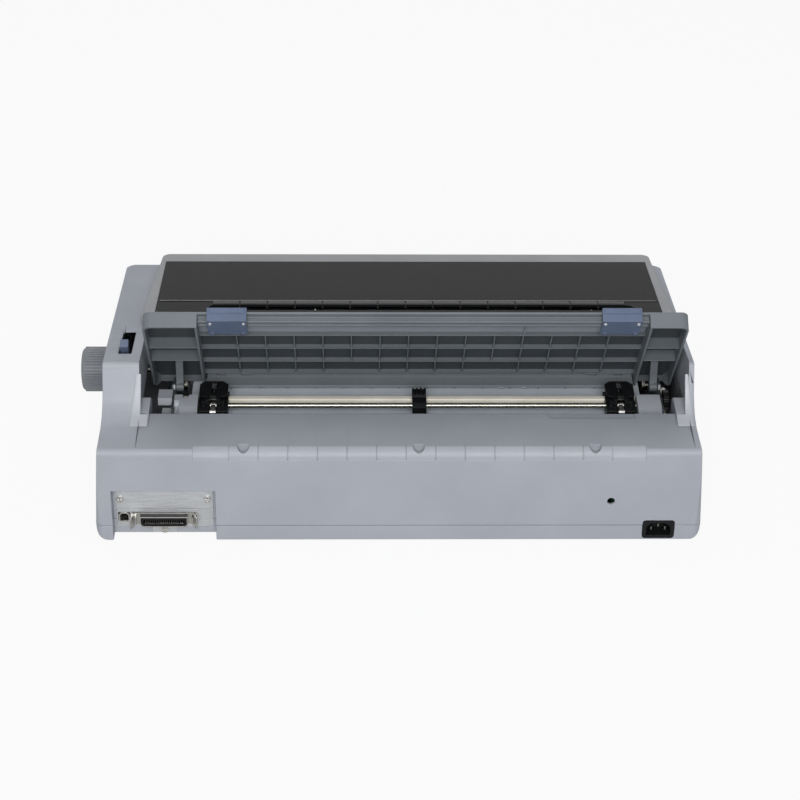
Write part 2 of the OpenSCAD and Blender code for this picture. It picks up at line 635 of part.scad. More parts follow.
// ---- platen ----
module platen_roller() {
    color([0.10, 0.10, 0.11]) difference() {
        xrod(platen_y, platen_z, platen_r, [fr_r + 23, fr_l - 23]);
        xrod(platen_y, platen_z, 4, [fr_r, fr_l]);
    }
}
module platen_shaft() {
    color(steel) union() {
        xrod(platen_y, platen_z, 4, [fr_r - 12, knob_end - 10]);
        xrod(platen_y, platen_z, 6, [fr_l - 14, fr_l - 9]);
        xrod(platen_y, platen_z, 6, [fr_r + 9, fr_r + 14]);
    }
}
knob_from = case_w / 2 - 1.8;
knob_ribs = 48;
module platen_knob() {
    color([0.40, 0.40, 0.42]) difference() {
        union() {
            xrod(platen_y, platen_z, knob_r - 0.3, [knob_from, knob_from + 3]);
            along_x([knob_from + 2.5, knob_end - 3.2]) translate(c_platen)
                polygon([for (k = [0 : knob_ribs - 1],
                    t = [[-0.34, -1.1], [-0.2, 0], [0.2, 0], [0.34, -1.1]])
                    polar([0, 0], knob_r + t[1], (k + t[0]) * 360 / knob_ribs)]);
            translate([knob_end - 6, platen_y, platen_z]) rotate([0, 90, 0]) rotate_extrude($fn = 64)
                polygon([[0, 0], [knob_r - 1.5, 0], [knob_r - 1.5, 3], [knob_r - 2.2, 4.6],
                    [knob_r - 3.6, 5.6], [knob_r - 5.4, 6], [0, 6]]);
        }
        xrod(platen_y, platen_z, 4, [left_in, knob_end - 9]);
    }
}
module platen_gear() {
    color(light) gear(c_platen, teeth_platen, rot_platen, 4);
}
module feed_idler() {
    color(light) gear(c_feed, teeth_idler, rot_feed, 3.05);
}
module tractor_idler_a() {
    color(light) gear(c_a, teeth_idler, rot_a, 3.05);
}
module tractor_idler_b() {
    color(light) gear(c_b, teeth_c, rot_b, 3.05);
}
module motor_pinion() {
    color([0.75, 0.62, 0.30]) union() {
        gear(c_motor, teeth_pinion, rot_motor, 0);
        xrod(c_motor[0], c_motor[1], 2.5, [gear_x[1] - 1, fr_r + 5]);
    }
}
module feed_motor() {
    color([0.25, 0.25, 0.27]) difference() {
        union() {
            xrod(c_motor[0], c_motor[1], 21, [fr_r + 0.3, fr_r + 34]);
            bx([fr_r + 0.3, fr_r + 2.3], [c_motor[0] - 28, c_motor[0] + 28],
                [c_motor[1] - 8, c_motor[1] + 8]);
        }
        xrod(c_motor[0], c_motor[1], 2.6, [fr_r - 1, fr_r + 6]);
    }
}

// ---- frames ----
frame_pts = [[-122, 8], [58, 8], [66, 66], [112, 74], [114, 84], [112, 100], [76, 101.5], [73, 105.5],
    [59, 105.5], [54, 99], [44, 85], [12, 85], [9, 89], [-13, 89], [-16, 86], [-122, 84]];
module frame_plate(x) {
    along_x(x) difference() {
        polygon(frame_pts);
        translate(c_platen) circle(r = 4.04, $fn = 64);
        translate([shaft_y, shaft_z]) circle(r = shaft_r, $fn = 48);
        translate([pivot_y, pivot_z]) circle(r = 3.05, $fn = 48);
        translate(c_bar) circle(r = 3.04, $fn = 48);
        translate([rod_y, rod_z]) circle(r = rod_r, $fn = 48);
        translate(c_motor) circle(r = 3.2, $fn = 32);
        polygon(box_pts(-112, -78, 16, 46, 4));
        translate(c_bail) circle(r = 2.55, $fn = 32);
    }
}
module side_frames() {
    color(steel) {
        frame_plate([fr_l, fr_l + 2]);
        frame_plate([fr_r - 2, fr_r]);
        // idler studs on the gear side
        for (c = [c_feed, c_a, c_b]) xrod(c[0], c[1], 3, [gear_x[0] - 0.6, fr_r - 1.9]);
    }
}
module mech_base() {
    color(steel) union() {
        bx([fr_r + 0.15, fr_l - 0.15], [-122, 56], [8, 10]);
        // front rail of the carriage
        difference() {
            bx([fr_r + 0.15, fr_l - 0.15], [-112, -110], [9, 66]);
            yrod(pul_m, belt_z, 7, [-113, -109]);
        }
        bx([fr_r + 0.15, fr_l - 0.15], [-112, -104], [64, 66]);
        // stud of the belt idler
        yrod(pul_i, belt_z, 2.5, [-111, belt_y[1] + 0.6]);
    }
}
module carriage_shaft() {
    color([0.78, 0.79, 0.80]) xrod(shaft_y, shaft_z, shaft_r, [fr_r - 2.4, fr_l + 2.4]);
}

// ---- carriage ----
belt_y = [-97, -89];
belt_z = 40;
belt_r = 6;
pul_m = fr_r + 33;
pul_i = fr_l - 32;
module carriage() {
    color(dark) difference() {
        union() {
            bx([park_x - 25, park_x + 25], [shaft_y - 16, shaft_y + 14], [shaft_z - 11, shaft_z + 12]);
            bx([park_x - 20, park_x + 20], [-108, shaft_y - 14], [shaft_z + 6.4, shaft_z + 11]);
            bx([park_x - 8, park_x + 8], [belt_y[0] - 1, shaft_y - 14],
                [belt_z + belt_r + 2.6, belt_z + belt_r + 8]);
            bx([park_x - 8, park_x + 8], [belt_y[1] + 1.8, belt_y[1] + 4],
                [belt_z + belt_r - 3.5, belt_z + belt_r + 4]);
        }
        xrod(shaft_y, shaft_z, shaft_r + 0.05, [park_x - 30, park_x + 30]);
        bx([park_x - 17, park_x + 17], [shaft_y - 12, shaft_y + 15], [shaft_z + 8, shaft_z + 13]);
    }
}
module print_head() {
    color([0.32, 0.33, 0.35]) union() {
        bx([park_x - 16.8, park_x + 16.8], [shaft_y - 8, shaft_y + 24], [shaft_z + 8.1, shaft_z + 24]);
        for (i = [0 : 6]) bx([park_x - 15, park_x + 15], [shaft_y - 8 + i * 4, shaft_y - 6 + i * 4],
            [shaft_z + 23, shaft_z + 34]);
        bx([park_x - 9, park_x + 9], [shaft_y + 23, shaft_y + 33], [platen_z - 6, platen_z + 5]);
        along_x([park_x - 4, park_x + 4])
            polygon([[shaft_y + 32, platen_z - 5], [platen_y - platen_r - 2.3, platen_z - 3.4],
            [platen_y - platen_r - 2.3, platen_z + 3.4], [shaft_y + 32, platen_z + 5]]);
    }
}
module ribbon_cartridge() {
    color([0.09, 0.09, 0.10]) union() {
        bx([fr_r + 6, fr_l - 6], [-146, -114], [89, 105]);
        for (x = [[fr_r + 1.6, fr_r + 8.6], [fr_l - 8.6, fr_l - 1.6]]) {
            bx(x, [-120, -28], [89, 103]);
            bx(x, [-32, -20.4], [73, 95]);
        }
        bx([fr_r + 4, fr_l - 4], [-20.9, -20.5], [74.5, 86]);
        translate([fr_r + 60, -130, 104]) cylinder(r = 11, h = 5, $fn = 40);
    }
}
module carriage_motor() {
    color([0.25, 0.25, 0.27]) union() {
        yrod(pul_m, belt_z, 21, [-146, -112.3]);
        bx([pul_m - 21, pul_m + 21], [-114.5, -112.3], [belt_z - 21, belt_z + 21]);
    }
}
module pulley(x, from) {
    difference() {
        union() {
            yrod(x, belt_z, belt_r - 0.1, [belt_y[0] - 0.4, belt_y[1] + 0.4]);
            yrod(x, belt_z, belt_r + 1.6, [belt_y[0] - 1.4, belt_y[0] - 0.4]);
            yrod(x, belt_z, belt_r + 1.6, [belt_y[1] + 0.4, belt_y[1] + 1.4]);
            if (from < 0) yrod(x, belt_z, 2.5, [from, belt_y[0]]);
        }
        if (from == 0) yrod(x, belt_z, 2.54, [belt_y[0] - 2, belt_y[1] + 2]);
    }
}
module drive_pulley() {
    color([0.75, 0.62, 0.30]) pulley(pul_m, -112.1);
}
module idler_pulley() {
    color(light) pulley(pul_i, 0);
}
function stadium(r) = concat([for (i = [0 : 12]) [pul_i, belt_z] + r * [cos(-90 + i * 15),
    sin(-90 + i * 15)]],
    [for (i = [0 : 12]) [pul_m, belt_z] + r * [cos(90 + i * 15), sin(90 + i * 15)]]);
module drive_belt() {
    color([0.08, 0.08, 0.09]) along_y(belt_y) difference() {
        polygon(stadium(belt_r + 1.5));
        polygon(stadium(belt_r + 0.25));
    }
}
module paper_bail() {
    color(steel) union() {
        xrod(bail_y, bail_z, 2.5, [fr_r + 6, fr_l - 6]);
        for (x = [[fr_r + 5, fr_r + 8], [fr_l - 8, fr_l - 5]]) along_x(x)
            polygon(concat([[bail_y - 4, bail_z + 4]],
            [[bail_y - 4, bail_z - 2]], arc(c_bail, 4.5, 215, 395, 8), [[bail_y + 2.6, bail_z + 4]]));
        xrod(c_bail[0], c_bail[1], 2.5, [fr_r - 2.2, fr_r + 6]);
        xrod(c_bail[0], c_bail[1], 2.5, [fr_l - 6, fr_l + 2.2]);
        for (i = [-2 : 2]) xrod(bail_y, bail_z, 5, [mech_x + i * 84 - 9, mech_x + i * 84 + 9]);
    }
}
c_bail = [platen_y + 18, platen_z - 9];
bail_y = platen_y - 6.2;
bail_z = platen_z + platen_r + 4.6;

// ---- tractors ----
tl = [tractor_x, tractor_x + tractor_w];
tr = [mech_x * 2 - tractor_x - tractor_w + 1, mech_x * 2 - tractor_x + 1];
module tractor(x, s) {
    m = (x[0] + x[1]) / 2;
    color([0.07, 0.07, 0.08]) difference() {
        union() {
            for (k = [-1, 1]) bx([m + k * 10 - 1.5, m + k * 10 + 1.5], [98.6, 103.4], [97, 103.6]);
            along_x(x) polygon(concat([[68, 84.5], [105, 84.5], [110, 88], [110, 96], [104, 98.6],
                [72, 99.4], [64.4, 96], [64.4, 88]]));
        }
        xrod(101, 101.5, 1.16, [x[0], x[1]]);
        // wheel well
        bx([x[0] + 8, x[1] - 8], [67.5, 92.6], [82, 102]);
        bx(s > 0 ? [x[0] - 1, x[0] + 6] : [x[1] - 6, x[1] + 1], [60, 76], [92, 102]);
        translate([x[0] - 1, bar_y, bar_z]) rotate([0, 90, 0])
            cylinder(r = 5.1, h = tractor_w + 2, $fn = 48);
        xrod(rod_y, rod_z, rod_r + 0.05, [x[0] - 1, x[1] + 1]);
        // pocket of the lock lever
        bx([(x[0] + x[1]) / 2 - 3.4, (x[0] + x[1]) / 2 + 3.4], [rod_y - 3.4, 115], [rod_z - 5, 102]);
    }
}
module tractor_left() { tractor(tl, 1); }
module tractor_right() { tractor(tr, -1); }
module sprocket(x) {
    m = (x[0] + x[1]) / 2;
    color([0.12, 0.12, 0.13]) difference() {
        union() {
            xrod(bar_y, bar_z, 8.4, [m - 6.4, m + 6.4]);
            xrod(bar_y, bar_z, 5, [x[0] + 1, x[1] - 1]);
            for (i = [0 : 7]) translate([m, bar_y, bar_z]) rotate([i * 45 + 22.5, 0, 0])
                cylinder(r = 1.4, h = 10.6, $fn = 24);
        }
        translate([m, bar_y, bar_z]) cube([tractor_w + 2, bar_s + 0.16, bar_s + 0.16], center = true);
    }
}
module sprocket_left() { sprocket(tl); }
module sprocket_right() { sprocket(tr); }
module flap(x) {
    m = (x[0] + x[1]) / 2;
    color([0.09, 0.09, 0.10]) difference() {
        union() {
            translate([0, 0, 103.6]) linear_extrude(1.8)
                polygon([[x[0] + 0.4, 72], [x[0] + 6, 66], [x[1] - 6, 66], [x[1] - 0.4, 72],
                [x[1] - 0.4, 91], [x[1] - 4, 95], [x[0] + 4, 95], [x[0] + 0.4, 91]]);
            for (s = [-1, 1]) {
                bx([m + s * 5.8 - 2.2, m + s * 5.8 + 2.2], [99.5, 102.5], [99.4, 105.4]);
                bx([m + s * 5.8 - 2.2, m + s * 5.8 + 2.2], [93, 102.5], [103.6, 105.4]);
                xrod(101, 101.5, 1.1, [m + s * 9 - 2.4, m + s * 9 + 2.4]);
            }
        }
        bx([m - 2.4, m + 2.4], [68, 90], [102, 107]);
    }
}
module flap_left() { flap(tl); }
module flap_right() { flap(tr); }
module lock(x) {
    m = (x[0] + x[1]) / 2;
    color([0.72, 0.73, 0.74]) difference() {
        union() {
            xrod(rod_y, rod_z, 3.3, [m - 3, m + 3]);
            bx([m - 2.4, m + 2.4], [rod_y, rod_y + 13], [rod_z - 2.6, rod_z + 2.4]);
            xrod(rod_y + 13, rod_z, 3, [m - 3, m + 3]);
        }
        xrod(rod_y, rod_z, rod_r + 0.05, [m - 5, m + 5]);
    }
}
module lock_left() { lock(tl); }
module lock_right() { lock(tr); }
module centre_support() {
    color([0.07, 0.07, 0.08]) difference() {
        union() {
            along_x([mech_x - 8.8, mech_x + 5.6])
                polygon([[74, 86], [100, 86], [104, 90], [104, 97], [99, 99.5], [88, 99.5], [86, 101],
                [74, 101]]);
            for (i = [0 : 3]) bx([mech_x - 8.8 + i * 4.2, mech_x - 7 + i * 4.2], [74, 85],
                [100.5, 102.2]);
        }
        translate([mech_x, bar_y, bar_z]) rotate([0, 90, 0])
            cylinder(r = bar_s * 0.7072 + 0.1, h = 40, center = true, $fn = 48);
        xrod(rod_y, rod_z, rod_r + 0.05, [mech_x - 20, mech_x + 20]);
    }
}
module tractor_bar() {
    color(cream) union() {
        bx([fr_r + 0.5, fr_l - 0.5], [bar_y - bar_s / 2, bar_y + bar_s / 2],
            [bar_z - bar_s / 2, bar_z + bar_s / 2]);
        xrod(bar_y, bar_z, 3, [gear_x[0], fr_l + 3]);
        gear(c_bar, teeth_bar, rot_bar, 0);
    }
}
module tractor_rod() {
    color(cream) xrod(rod_y, rod_z, rod_r, [fr_r - 2.2, fr_l + 2.2]);
}
module tractor_brackets() {
    color(light) difference() {
        union() {
            for (x = [[fr_l - 24.6, fr_l - 0.3], [fr_r + 0.3, fr_r + 24.6]]) along_x(x)
                polygon([[86.4, 87], [118, 87], [118, 99], [108, 102.6], [89, 103.6], [86.4, 101]]);
            bx([fr_l + 2.3, fr_l + 17], [74, 92], [92, 100.6]);
            bx([fr_l + 2.3, fr_l + 12], [98, 122], [84, 93]);
        }
        xrod(rod_y, rod_z, rod_r + 0.1, [right_in, left_in]);
        xrod(bar_y, bar_z, 3.6, [fr_l + 1, fr_l + 5.4]);
        bx([fr_l - 15, fr_l - 9], [80, 94], [99, 110]);
        bx([fr_l - 6, fr_l + 1], [100, 120], [94, 110]);
    }
}
path_x = [wing_right + wing_w2 + 1, fr_l - 30];
module paper_path() {
    color([0.52, 0.55, 0.59]) difference() {
        union() {
            bx([fr_r + 14.6, fr_l - 14.6], [20, 108], [78.4, 80.4]);
            bx([fr_r + 0.2, fr_l - 0.2], [60, 108], [78.4, 80.4]);
            bx(path_x, [25, 27.4], [79, 91]);
            along_x(path_x) polygon([[25, 89.6], [34, 89.6], [49, 87.6], [49, 90], [34, 92], [25, 92]]);
            for (i = [0 : floor((fr_l - 57 - path_x[0]) / line_pitch)])
                let (x = fr_l - 57 - i * line_pitch)
                bx([x, x + 1.2], [27, 48.6], [86, 90]);
        }
        for (x = [fr_l - 50, fr_l - 76, fr_r + 59, fr_r + 31]) bx([x, x + 11], [27.6, 32], [88, 95]);
        for (x = [mech_x - 92, mech_x - 116]) bx([x, x + 4], [36, 40], [77, 82]);
    }
}

// ---- release lever ----
module release_lever() {
    color(blue) difference() {
        union() {
            xrod(64, 118, 6, [left_in + 12, left_in + 24]);
            translate([left_in + 14, 64, 118]) rotate([-21.3, 0, 0]) bx([0, 8], [-4, 4], [3, 40]);
            translate([left_in + 14, 64, 118]) rotate([-21.3, 0, 0]) bx([0, 8], [-5, 5], [35, 44]);
        }
        xrod(64, 118, 3.05, [left_in + 10, left_in + 30]);
    }
}

// ---- ports and electronics ----
module blank_plate() {
    color([0.66, 0.67, 0.68]) difference() {
        bx([ports_x + 3, ports_x + ports_w - 3], [pf + 0.1, pf + 1.3], [31, ports_h - 1.2]);
        for (x = screw_x) yrod(x, screw_z, 1.7, [pf - 1, pf + 3]);
    }
}
module port_bracket() {
    color([0.66, 0.67, 0.68]) difference() {
        union() {
            bx([ports_x + 3, ports_x + ports_w - 3], [pf + 0.1, pf + 1.3], [9.6, 30.6]);
            bx([port_x - 12, port_x + 12], [pf + 0.1, pf + 1.3], [2.6, 10]);
        }
        bx([port_x - 24.1, port_x + 24.1], [pf - 1, pf + 3], [port_z - 6.2, port_z + 6.2]);
        bx([usb_x - 6, usb_x + 6], [pf - 1, pf + 3], [15.4, 27.2]);
        yrod(port_x, 6.7, 1.7, [pf - 1, pf + 3]);
    }
}
module interface_screws() {
    color(steel) for (p = [[screw_x[0], screw_z], [screw_x[1], screw_z], [port_x, 6.7]]) difference() {
        union() {
            yrod(p[0], p[1], 1.6, [pf - 1.8, pf + 1.6]);
            yrod(p[0], p[1], 3.4, [pf + 1.35, pf + 3.4]);
        }
        bx([p[0] - 2.4, p[0] + 2.4], [pf + 2.6, pf + 4], [p[1] - 0.5, p[1] + 0.5]);
        bx([p[0] - 0.5, p[0] + 0.5], [pf + 2.6, pf + 4], [p[1] - 2.4, p[1] + 2.4]);
    }
}
function port_d(w, h, k) = [[-w / 2 + k, -h / 2], [w / 2 - k, -h / 2], [w / 2, -h / 2 + 2.4],
    [w / 2, h / 2], [-w / 2, h / 2], [-w / 2, -h / 2 + 2.4]];
module parallel_port() {
    color([0.78, 0.78, 0.76]) translate([port_x, 0, port_z]) difference() {
        union() {
            along_y([pf - 9, pf + 9.4]) polygon(port_d(47.6, 11.8, 2.6));
            bx([-33, 33], [pf + 1.6, pf + 2.8], [-6.6, 6.6]);
            for (s = [-1, 1]) bx([s * 30.4 - 2.6, s * 30.4 + 2.6], [pf + 2.7, pf + 8], [-4.6, 4.6]);
        }
        along_y([pf + 8.2, pf + 12]) polygon(port_d(46, 10.2, 2.4));
        along_y([pf + 1, pf + 12]) polygon(box_pts(-20.8, 20.8, -2.35, 2.35, 0.8));
        for (s = [-1, 1]) bx([s * 30.4 - 1.3, s * 30.4 + 1.3], [pf + 4, pf + 9], [-5, 5]);
    }
}
module clip(s) {
    color([0.80, 0.80, 0.78]) translate([port_x + s * 30.4, pf + 6, port_z]) {
        for (z = [-5.9, 5.9]) rotate([0, 0, -s * 25]) translate([0, 0, z]) rotate([-90, 0, 0])
            cylinder(r = 0.75, h = 6.4, $fn = 24);
        rotate([0, 0, -s * 25]) translate([0, 6, -5.9]) cylinder(r = 0.75, h = 11.8, $fn = 24);
        for (z = [-5.9, 5.15]) translate([0, 0, z]) cylinder(r = 0.75, h = 0.75, $fn = 24);
        translate([0, 0, -5.9]) cylinder(r = 0.55, h = 11.8, $fn = 24);
    }
}
module clip_left() { clip(1); }
module clip_right() { clip(-1); }
function usb_pts(w, z0, z1, k) = [[-w, z0], [w, z0], [w, z1 - k], [w - k, z1], [k - w, z1], [-w, z1 - k]];
module usb_port() {
    color([0.80, 0.80, 0.80]) translate([usb_x, 0, 0]) difference() {
        along_y([pf - 15, pf + 1.6]) polygon(usb_pts(5.7, 15.7, 26.9, 2.7));
        along_y([pf - 9, pf + 3]) polygon(usb_pts(4.2, 16.9, 25.4, 2));
    }
    color(dark) bx([usb_x - 2.4, usb_x + 2.4], [pf - 9.5, pf + 0.4], [19.6, 22.2]);
}
module ac_inlet() {
    color([0.16, 0.16, 0.17]) difference() {
        along_y([hd - 22, hd - 0.1])
            polygon(box_pts(inlet_x - 15.9, inlet_x + 15.9, inlet_z - 10.6, inlet_z + 10.6, 3));
        along_y([hd - 16, hd + 2])
            polygon([[inlet_x - 12.2, inlet_z - 7.2], [inlet_x + 12.2, inlet_z - 7.2],
            [inlet_x + 12.2, inlet_z + 2.6], [inlet_x + 7.4, inlet_z + 7.4],
            [inlet_x - 7.4, inlet_z + 7.4], [inlet_x - 12.2, inlet_z + 2.6]]);
    }
    color(steel) for (p = [[-7, -0.6], [0, 3], [7, -0.6]])
        bx([inlet_x + p[0] - 1, inlet_x + p[0] + 1], [hd - 16.5, hd - 3],
        [inlet_z + p[1] - 2, inlet_z + p[1] + 2]);
}
module main_board() {
    color([0.10, 0.36, 0.22]) union() {
        bx([board_r, board_r + 220], [62, pf - 3], [12.02, 13.6]);
        bx([port_x - 22.5, port_x + 22.5], [pf - 16, pf - 9.3], [13.5, 26]);
        bx([usb_x - 6, usb_x + 6], [pf - 14, pf - 4], [13.5, 15.4]);
        bx([board_r + 28, board_r + 66], [90, 128], [13.5, 17]);
        bx([board_r + 88, board_r + 110], [80, 120], [13.5, 16.5]);
        bx([board_r + 38, board_r + 88], [pf - 38, pf - 32], [13.5, 22]);
        for (i = [0 : 4]) translate([board_r + 20 + i * 14, pf - 18, 13.5])
            cylinder(r = 4, h = 12, $fn = 32);
    }
}
module power_board() {
    color([0.16, 0.38, 0.24]) union() {
        bx([power_r, power_l], [62, hd - 24], [12.02, 13.6]);
        bx([power_r + 82, power_r + 132], [84, 132], [13.5, 52]);
        bx([power_l - 28, power_l - 8], [70, hd - 41], [13.5, 46]);
        for (i = [0 : 2]) translate([power_r + 17, 84 + i * 26, 13.5]) cylinder(r = 10, h = 34, $fn = 40);
        bx([power_r + 60, power_r + 76], [hd - 61, hd - 33], [13.5, 28]);
    }
}

placed() lower_case();
placed() upper_case();
placed() rubber_feet();
placed() cover_frame();
placed() cover_window();
placed() paper_guide();
placed() guide_rail();
placed() edge_guide_left();
placed() edge_guide_right();
placed() front_cover();
placed() platen_roller();
placed() platen_shaft();
placed() platen_knob();
placed() platen_gear();
placed() feed_idler();
placed() feed_motor();
placed() motor_pinion();
placed() tractor_idler_a();
placed() tractor_idler_b();
placed() tractor_bar();
placed() tractor_rod();
placed() tractor_left();
placed() tractor_right();
placed() flap_left();
placed() flap_right();
placed() lock_left();
placed() lock_right();
placed() sprocket_left();
placed() sprocket_right();
placed() centre_support();
placed() tractor_brackets();
placed() side_frames();
placed() mech_base();
placed() carriage_shaft();
placed() carriage();
placed() print_head();
placed() ribbon_cartridge();
placed() carriage_motor();
placed() drive_pulley();
placed() idler_pulley();
placed() drive_belt();
placed() paper_bail();
placed() release_lever();
placed() paper_path();
placed() blank_plate();
placed() port_bracket();
placed() interface_screws();
placed() parallel_port();
placed() usb_port();
placed() ac_inlet();
placed() main_board();
placed() power_board();
placed() panel_board();
placed() power_switch();
placed() clip_left();
placed() clip_right();
placed() button_a();
placed() button_b();
placed() button_c();
placed() button_d();
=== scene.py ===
import json
import math
import bpy
import bmesh
from mathutils import Matrix, Vector


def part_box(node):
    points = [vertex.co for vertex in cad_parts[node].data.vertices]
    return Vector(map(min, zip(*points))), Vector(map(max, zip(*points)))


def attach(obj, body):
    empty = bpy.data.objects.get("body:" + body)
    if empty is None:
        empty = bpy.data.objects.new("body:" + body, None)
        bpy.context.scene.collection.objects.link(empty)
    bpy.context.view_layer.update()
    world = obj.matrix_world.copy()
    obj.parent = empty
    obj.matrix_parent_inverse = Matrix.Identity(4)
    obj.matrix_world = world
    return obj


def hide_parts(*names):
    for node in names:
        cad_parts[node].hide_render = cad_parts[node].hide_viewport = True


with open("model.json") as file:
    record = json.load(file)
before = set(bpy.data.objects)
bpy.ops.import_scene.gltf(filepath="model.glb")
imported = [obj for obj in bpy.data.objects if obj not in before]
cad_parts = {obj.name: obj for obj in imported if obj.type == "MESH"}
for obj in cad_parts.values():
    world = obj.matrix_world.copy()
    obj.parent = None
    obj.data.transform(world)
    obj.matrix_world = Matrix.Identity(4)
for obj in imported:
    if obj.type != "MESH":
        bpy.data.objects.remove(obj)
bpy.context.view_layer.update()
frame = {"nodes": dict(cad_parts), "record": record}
nodes = frame["nodes"]
print("frame loaded:", len(nodes), "nodes")


# angles in degrees: what counts as flat, as an edge to round, and as a smooth turn
meshCare = {"weld": 0.000004, "flatDeg": 0.8, "edgeDeg": 38, "narrowest": 2.4,
            "mouldSmoothDeg": 28, "trimSmoothDeg": 32}


def hexColour(text):
    # sRGB hex to the linear values that Blender works in
    parts = [int(text[i:i + 2], 16) / 255 for i in (1, 3, 5)]
    return tuple(c / 12.92 if c <= 0.04045 else ((c + 0.055) / 1.055) ** 2.4 for c in parts) + (1.0,)


def addNode(tree, kind, settings=None, links=None):
    node = tree.nodes.new(kind)
    for key, value in (settings or {}).items():
        if isinstance(key, str) and hasattr(node, key):
            setattr(node, key, value)
        else:
            node.inputs[key].default_value = value
    for key, socket in (links or {}).items():
        tree.links.new(socket, node.inputs[key])
    return node


def pickOnly(obj):
    if bpy.context.object and bpy.context.object.mode != "OBJECT":
        bpy.ops.object.mode_set(mode="OBJECT")
    bpy.ops.object.select_all(action="DESELECT")
    obj.select_set(True)
    bpy.context.view_layer.objects.active = obj


def settle(obj):
    # place, turn and size go into the mesh, so the object itself sits at the origin
    pickOnly(obj)
    bpy.ops.object.transform_apply(location=True, rotation=True, scale=True)
    return obj


def applyAll(obj):
    pickOnly(obj)
    for mod in list(obj.modifiers):
        bpy.ops.object.modifier_apply(modifier=mod.name)
    return obj


def bevelled(obj, width, steps=2, angle=35):
    mod = obj.modifiers.new("roundedEdges", "BEVEL")
    mod.width = width
    mod.segments = steps
    mod.limit_method = "ANGLE"
    mod.angle_limit = math.radians(angle)
    mod.use_clamp_overlap = True
    return applyAll(obj)


def joined(parts, name):
    bpy.ops.object.select_all(action="DESELECT")
    for obj in parts:
        obj.select_set(True)
    bpy.context.view_layer.objects.active = parts[0]
    if len(parts) > 1:
        bpy.ops.object.join()
    whole = bpy.context.object
    whole.name = name
    whole.data.name = name
    return whole


def copies(obj, shifts, name):
    # the same shape again at each shift, every one with its own mesh
    made = [obj]
    for shift in shifts:
        pickOnly(obj)
        bpy.ops.object.duplicate(linked=False)
        again = bpy.context.object
        again.data.transform(Matrix.Translation(shift))
        made.append(again)
    return joined(made, name)


def dyeRegion(piece, region, turnTo=None):
    # the faces inside one of the region's boxes, and turned that way, are of another finish
    piece.data.materials.append(finish[region["finish"]])
    layer = len(piece.data.materials) - 1
    place = turnTo or Matrix.Identity(4)
    facing = Vector(region["facing"])
    for face in piece.data.polygons:
        spot = place @ face.center
        way = place.to_3x3() @ face.normal
        if way.dot(facing) < region["least"]:
            continue
        if any(all(low[i] <= spot[i] <= high[i] for i in range(3)) for low, high in region["boxes"]):
            face.material_index = layer


def standIn(nodeName, look):
    # a copy of a CAD node with its long outer edges rounded, as the mould leaves them
    pickOnly(nodes[nodeName])
    bpy.ops.object.duplicate(linked=False)
    piece = bpy.context.object
    piece.parent = None
    piece.name = look["name"]
    piece.data.name = look["name"]
    piece.data.materials.clear()
    piece.data.materials.append(finish[slotOf[nodeName]])
    bpy.ops.object.mode_set(mode="EDIT")
    bpy.ops.mesh.select_all(action="SELECT")
    bpy.ops.mesh.remove_doubles(threshold=meshCare["weld"])
    bpy.ops.mesh.dissolve_limited(angle_limit=math.radians(meshCare["flatDeg"]))
    bpy.ops.object.mode_set(mode="OBJECT")
    shell = bmesh.new()
    shell.from_mesh(piece.data)
    layers = shell.edges.layers.float
    weight = layers.get("bevel_weight_edge") or layers.new("bevel_weight_edge")
    for edge in shell.edges:
        if len(edge.link_faces) != 2 or not edge.is_convex or edge.calc_length() < look["shortest"]:
            continue
        narrow = min(face.calc_area() for face in edge.link_faces) / edge.calc_length()
        wideEnough = narrow > meshCare["narrowest"] * look["round"]
        if wideEnough and edge.calc_face_angle() > math.radians(meshCare["edgeDeg"]):
            edge[weight] = 1.0
    shell.to_mesh(piece.data)
    shell.free()
    mod = piece.modifiers.new("mouldRadius", "BEVEL")
    mod.limit_method = "WEIGHT"
    mod.width = look["round"]
    mod.segments = 2
    mod.use_clamp_overlap = False
    applyAll(piece)
    for region in look.get("regions", ()):
        dyeRegion(piece, region, look.get("plane"))
    bpy.ops.object.shade_smooth_by_angle(angle=math.radians(meshCare["mouldSmoothDeg"]))
    even = piece.modifiers.new("evenNormals", "WEIGHTED_NORMAL")
    even.keep_sharp = True
    applyAll(piece)
    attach(piece, bodyOf[nodeName])
    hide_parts(nodeName)
    return piece


def dress(obj, material, body):
    obj.data.materials.clear()
    obj.data.materials.append(material)
    pickOnly(obj)
    bpy.ops.object.shade_smooth_by_angle(angle=math.radians(meshCare["trimSmoothDeg"]))
    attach(obj, body)
    return obj


# finishes

def newFinish(name):
    mat = bpy.data.materials.new(name)
    mat.use_nodes = True
    tree = mat.node_tree
    tree.nodes.clear()
    out = addNode(tree, "ShaderNodeOutputMaterial")
    skin = addNode(tree, "ShaderNodeBsdfPrincipled")
    tree.links.new(skin.outputs["BSDF"], out.inputs["Surface"])
    return mat, tree, skin


def tonedBase(tree, skin, place, look):
    # the dye is never quite even: a slow drift between two close tones, with finer mottling in it
    drift = addNode(tree, "ShaderNodeTexNoise", {"Scale": 1000 / look["driftMm"], "Detail": 4.0, "Roughness": 0.55},
                    {"Vector": place.outputs["Object"]})
    spread = addNode(tree, "ShaderNodeMapRange", {"From Min": 0.35, "From Max": 0.65}, {"Value": drift.outputs["Fac"]})
    tone = addNode(tree, "ShaderNodeMix",
                   {"data_type": "RGBA", 6: hexColour(look["tone"]), 7: hexColour(look["shade"])},
                   {0: spread.outputs["Result"]})
    tree.links.new(tone.outputs[2], skin.inputs["Base Color"])
    return tone


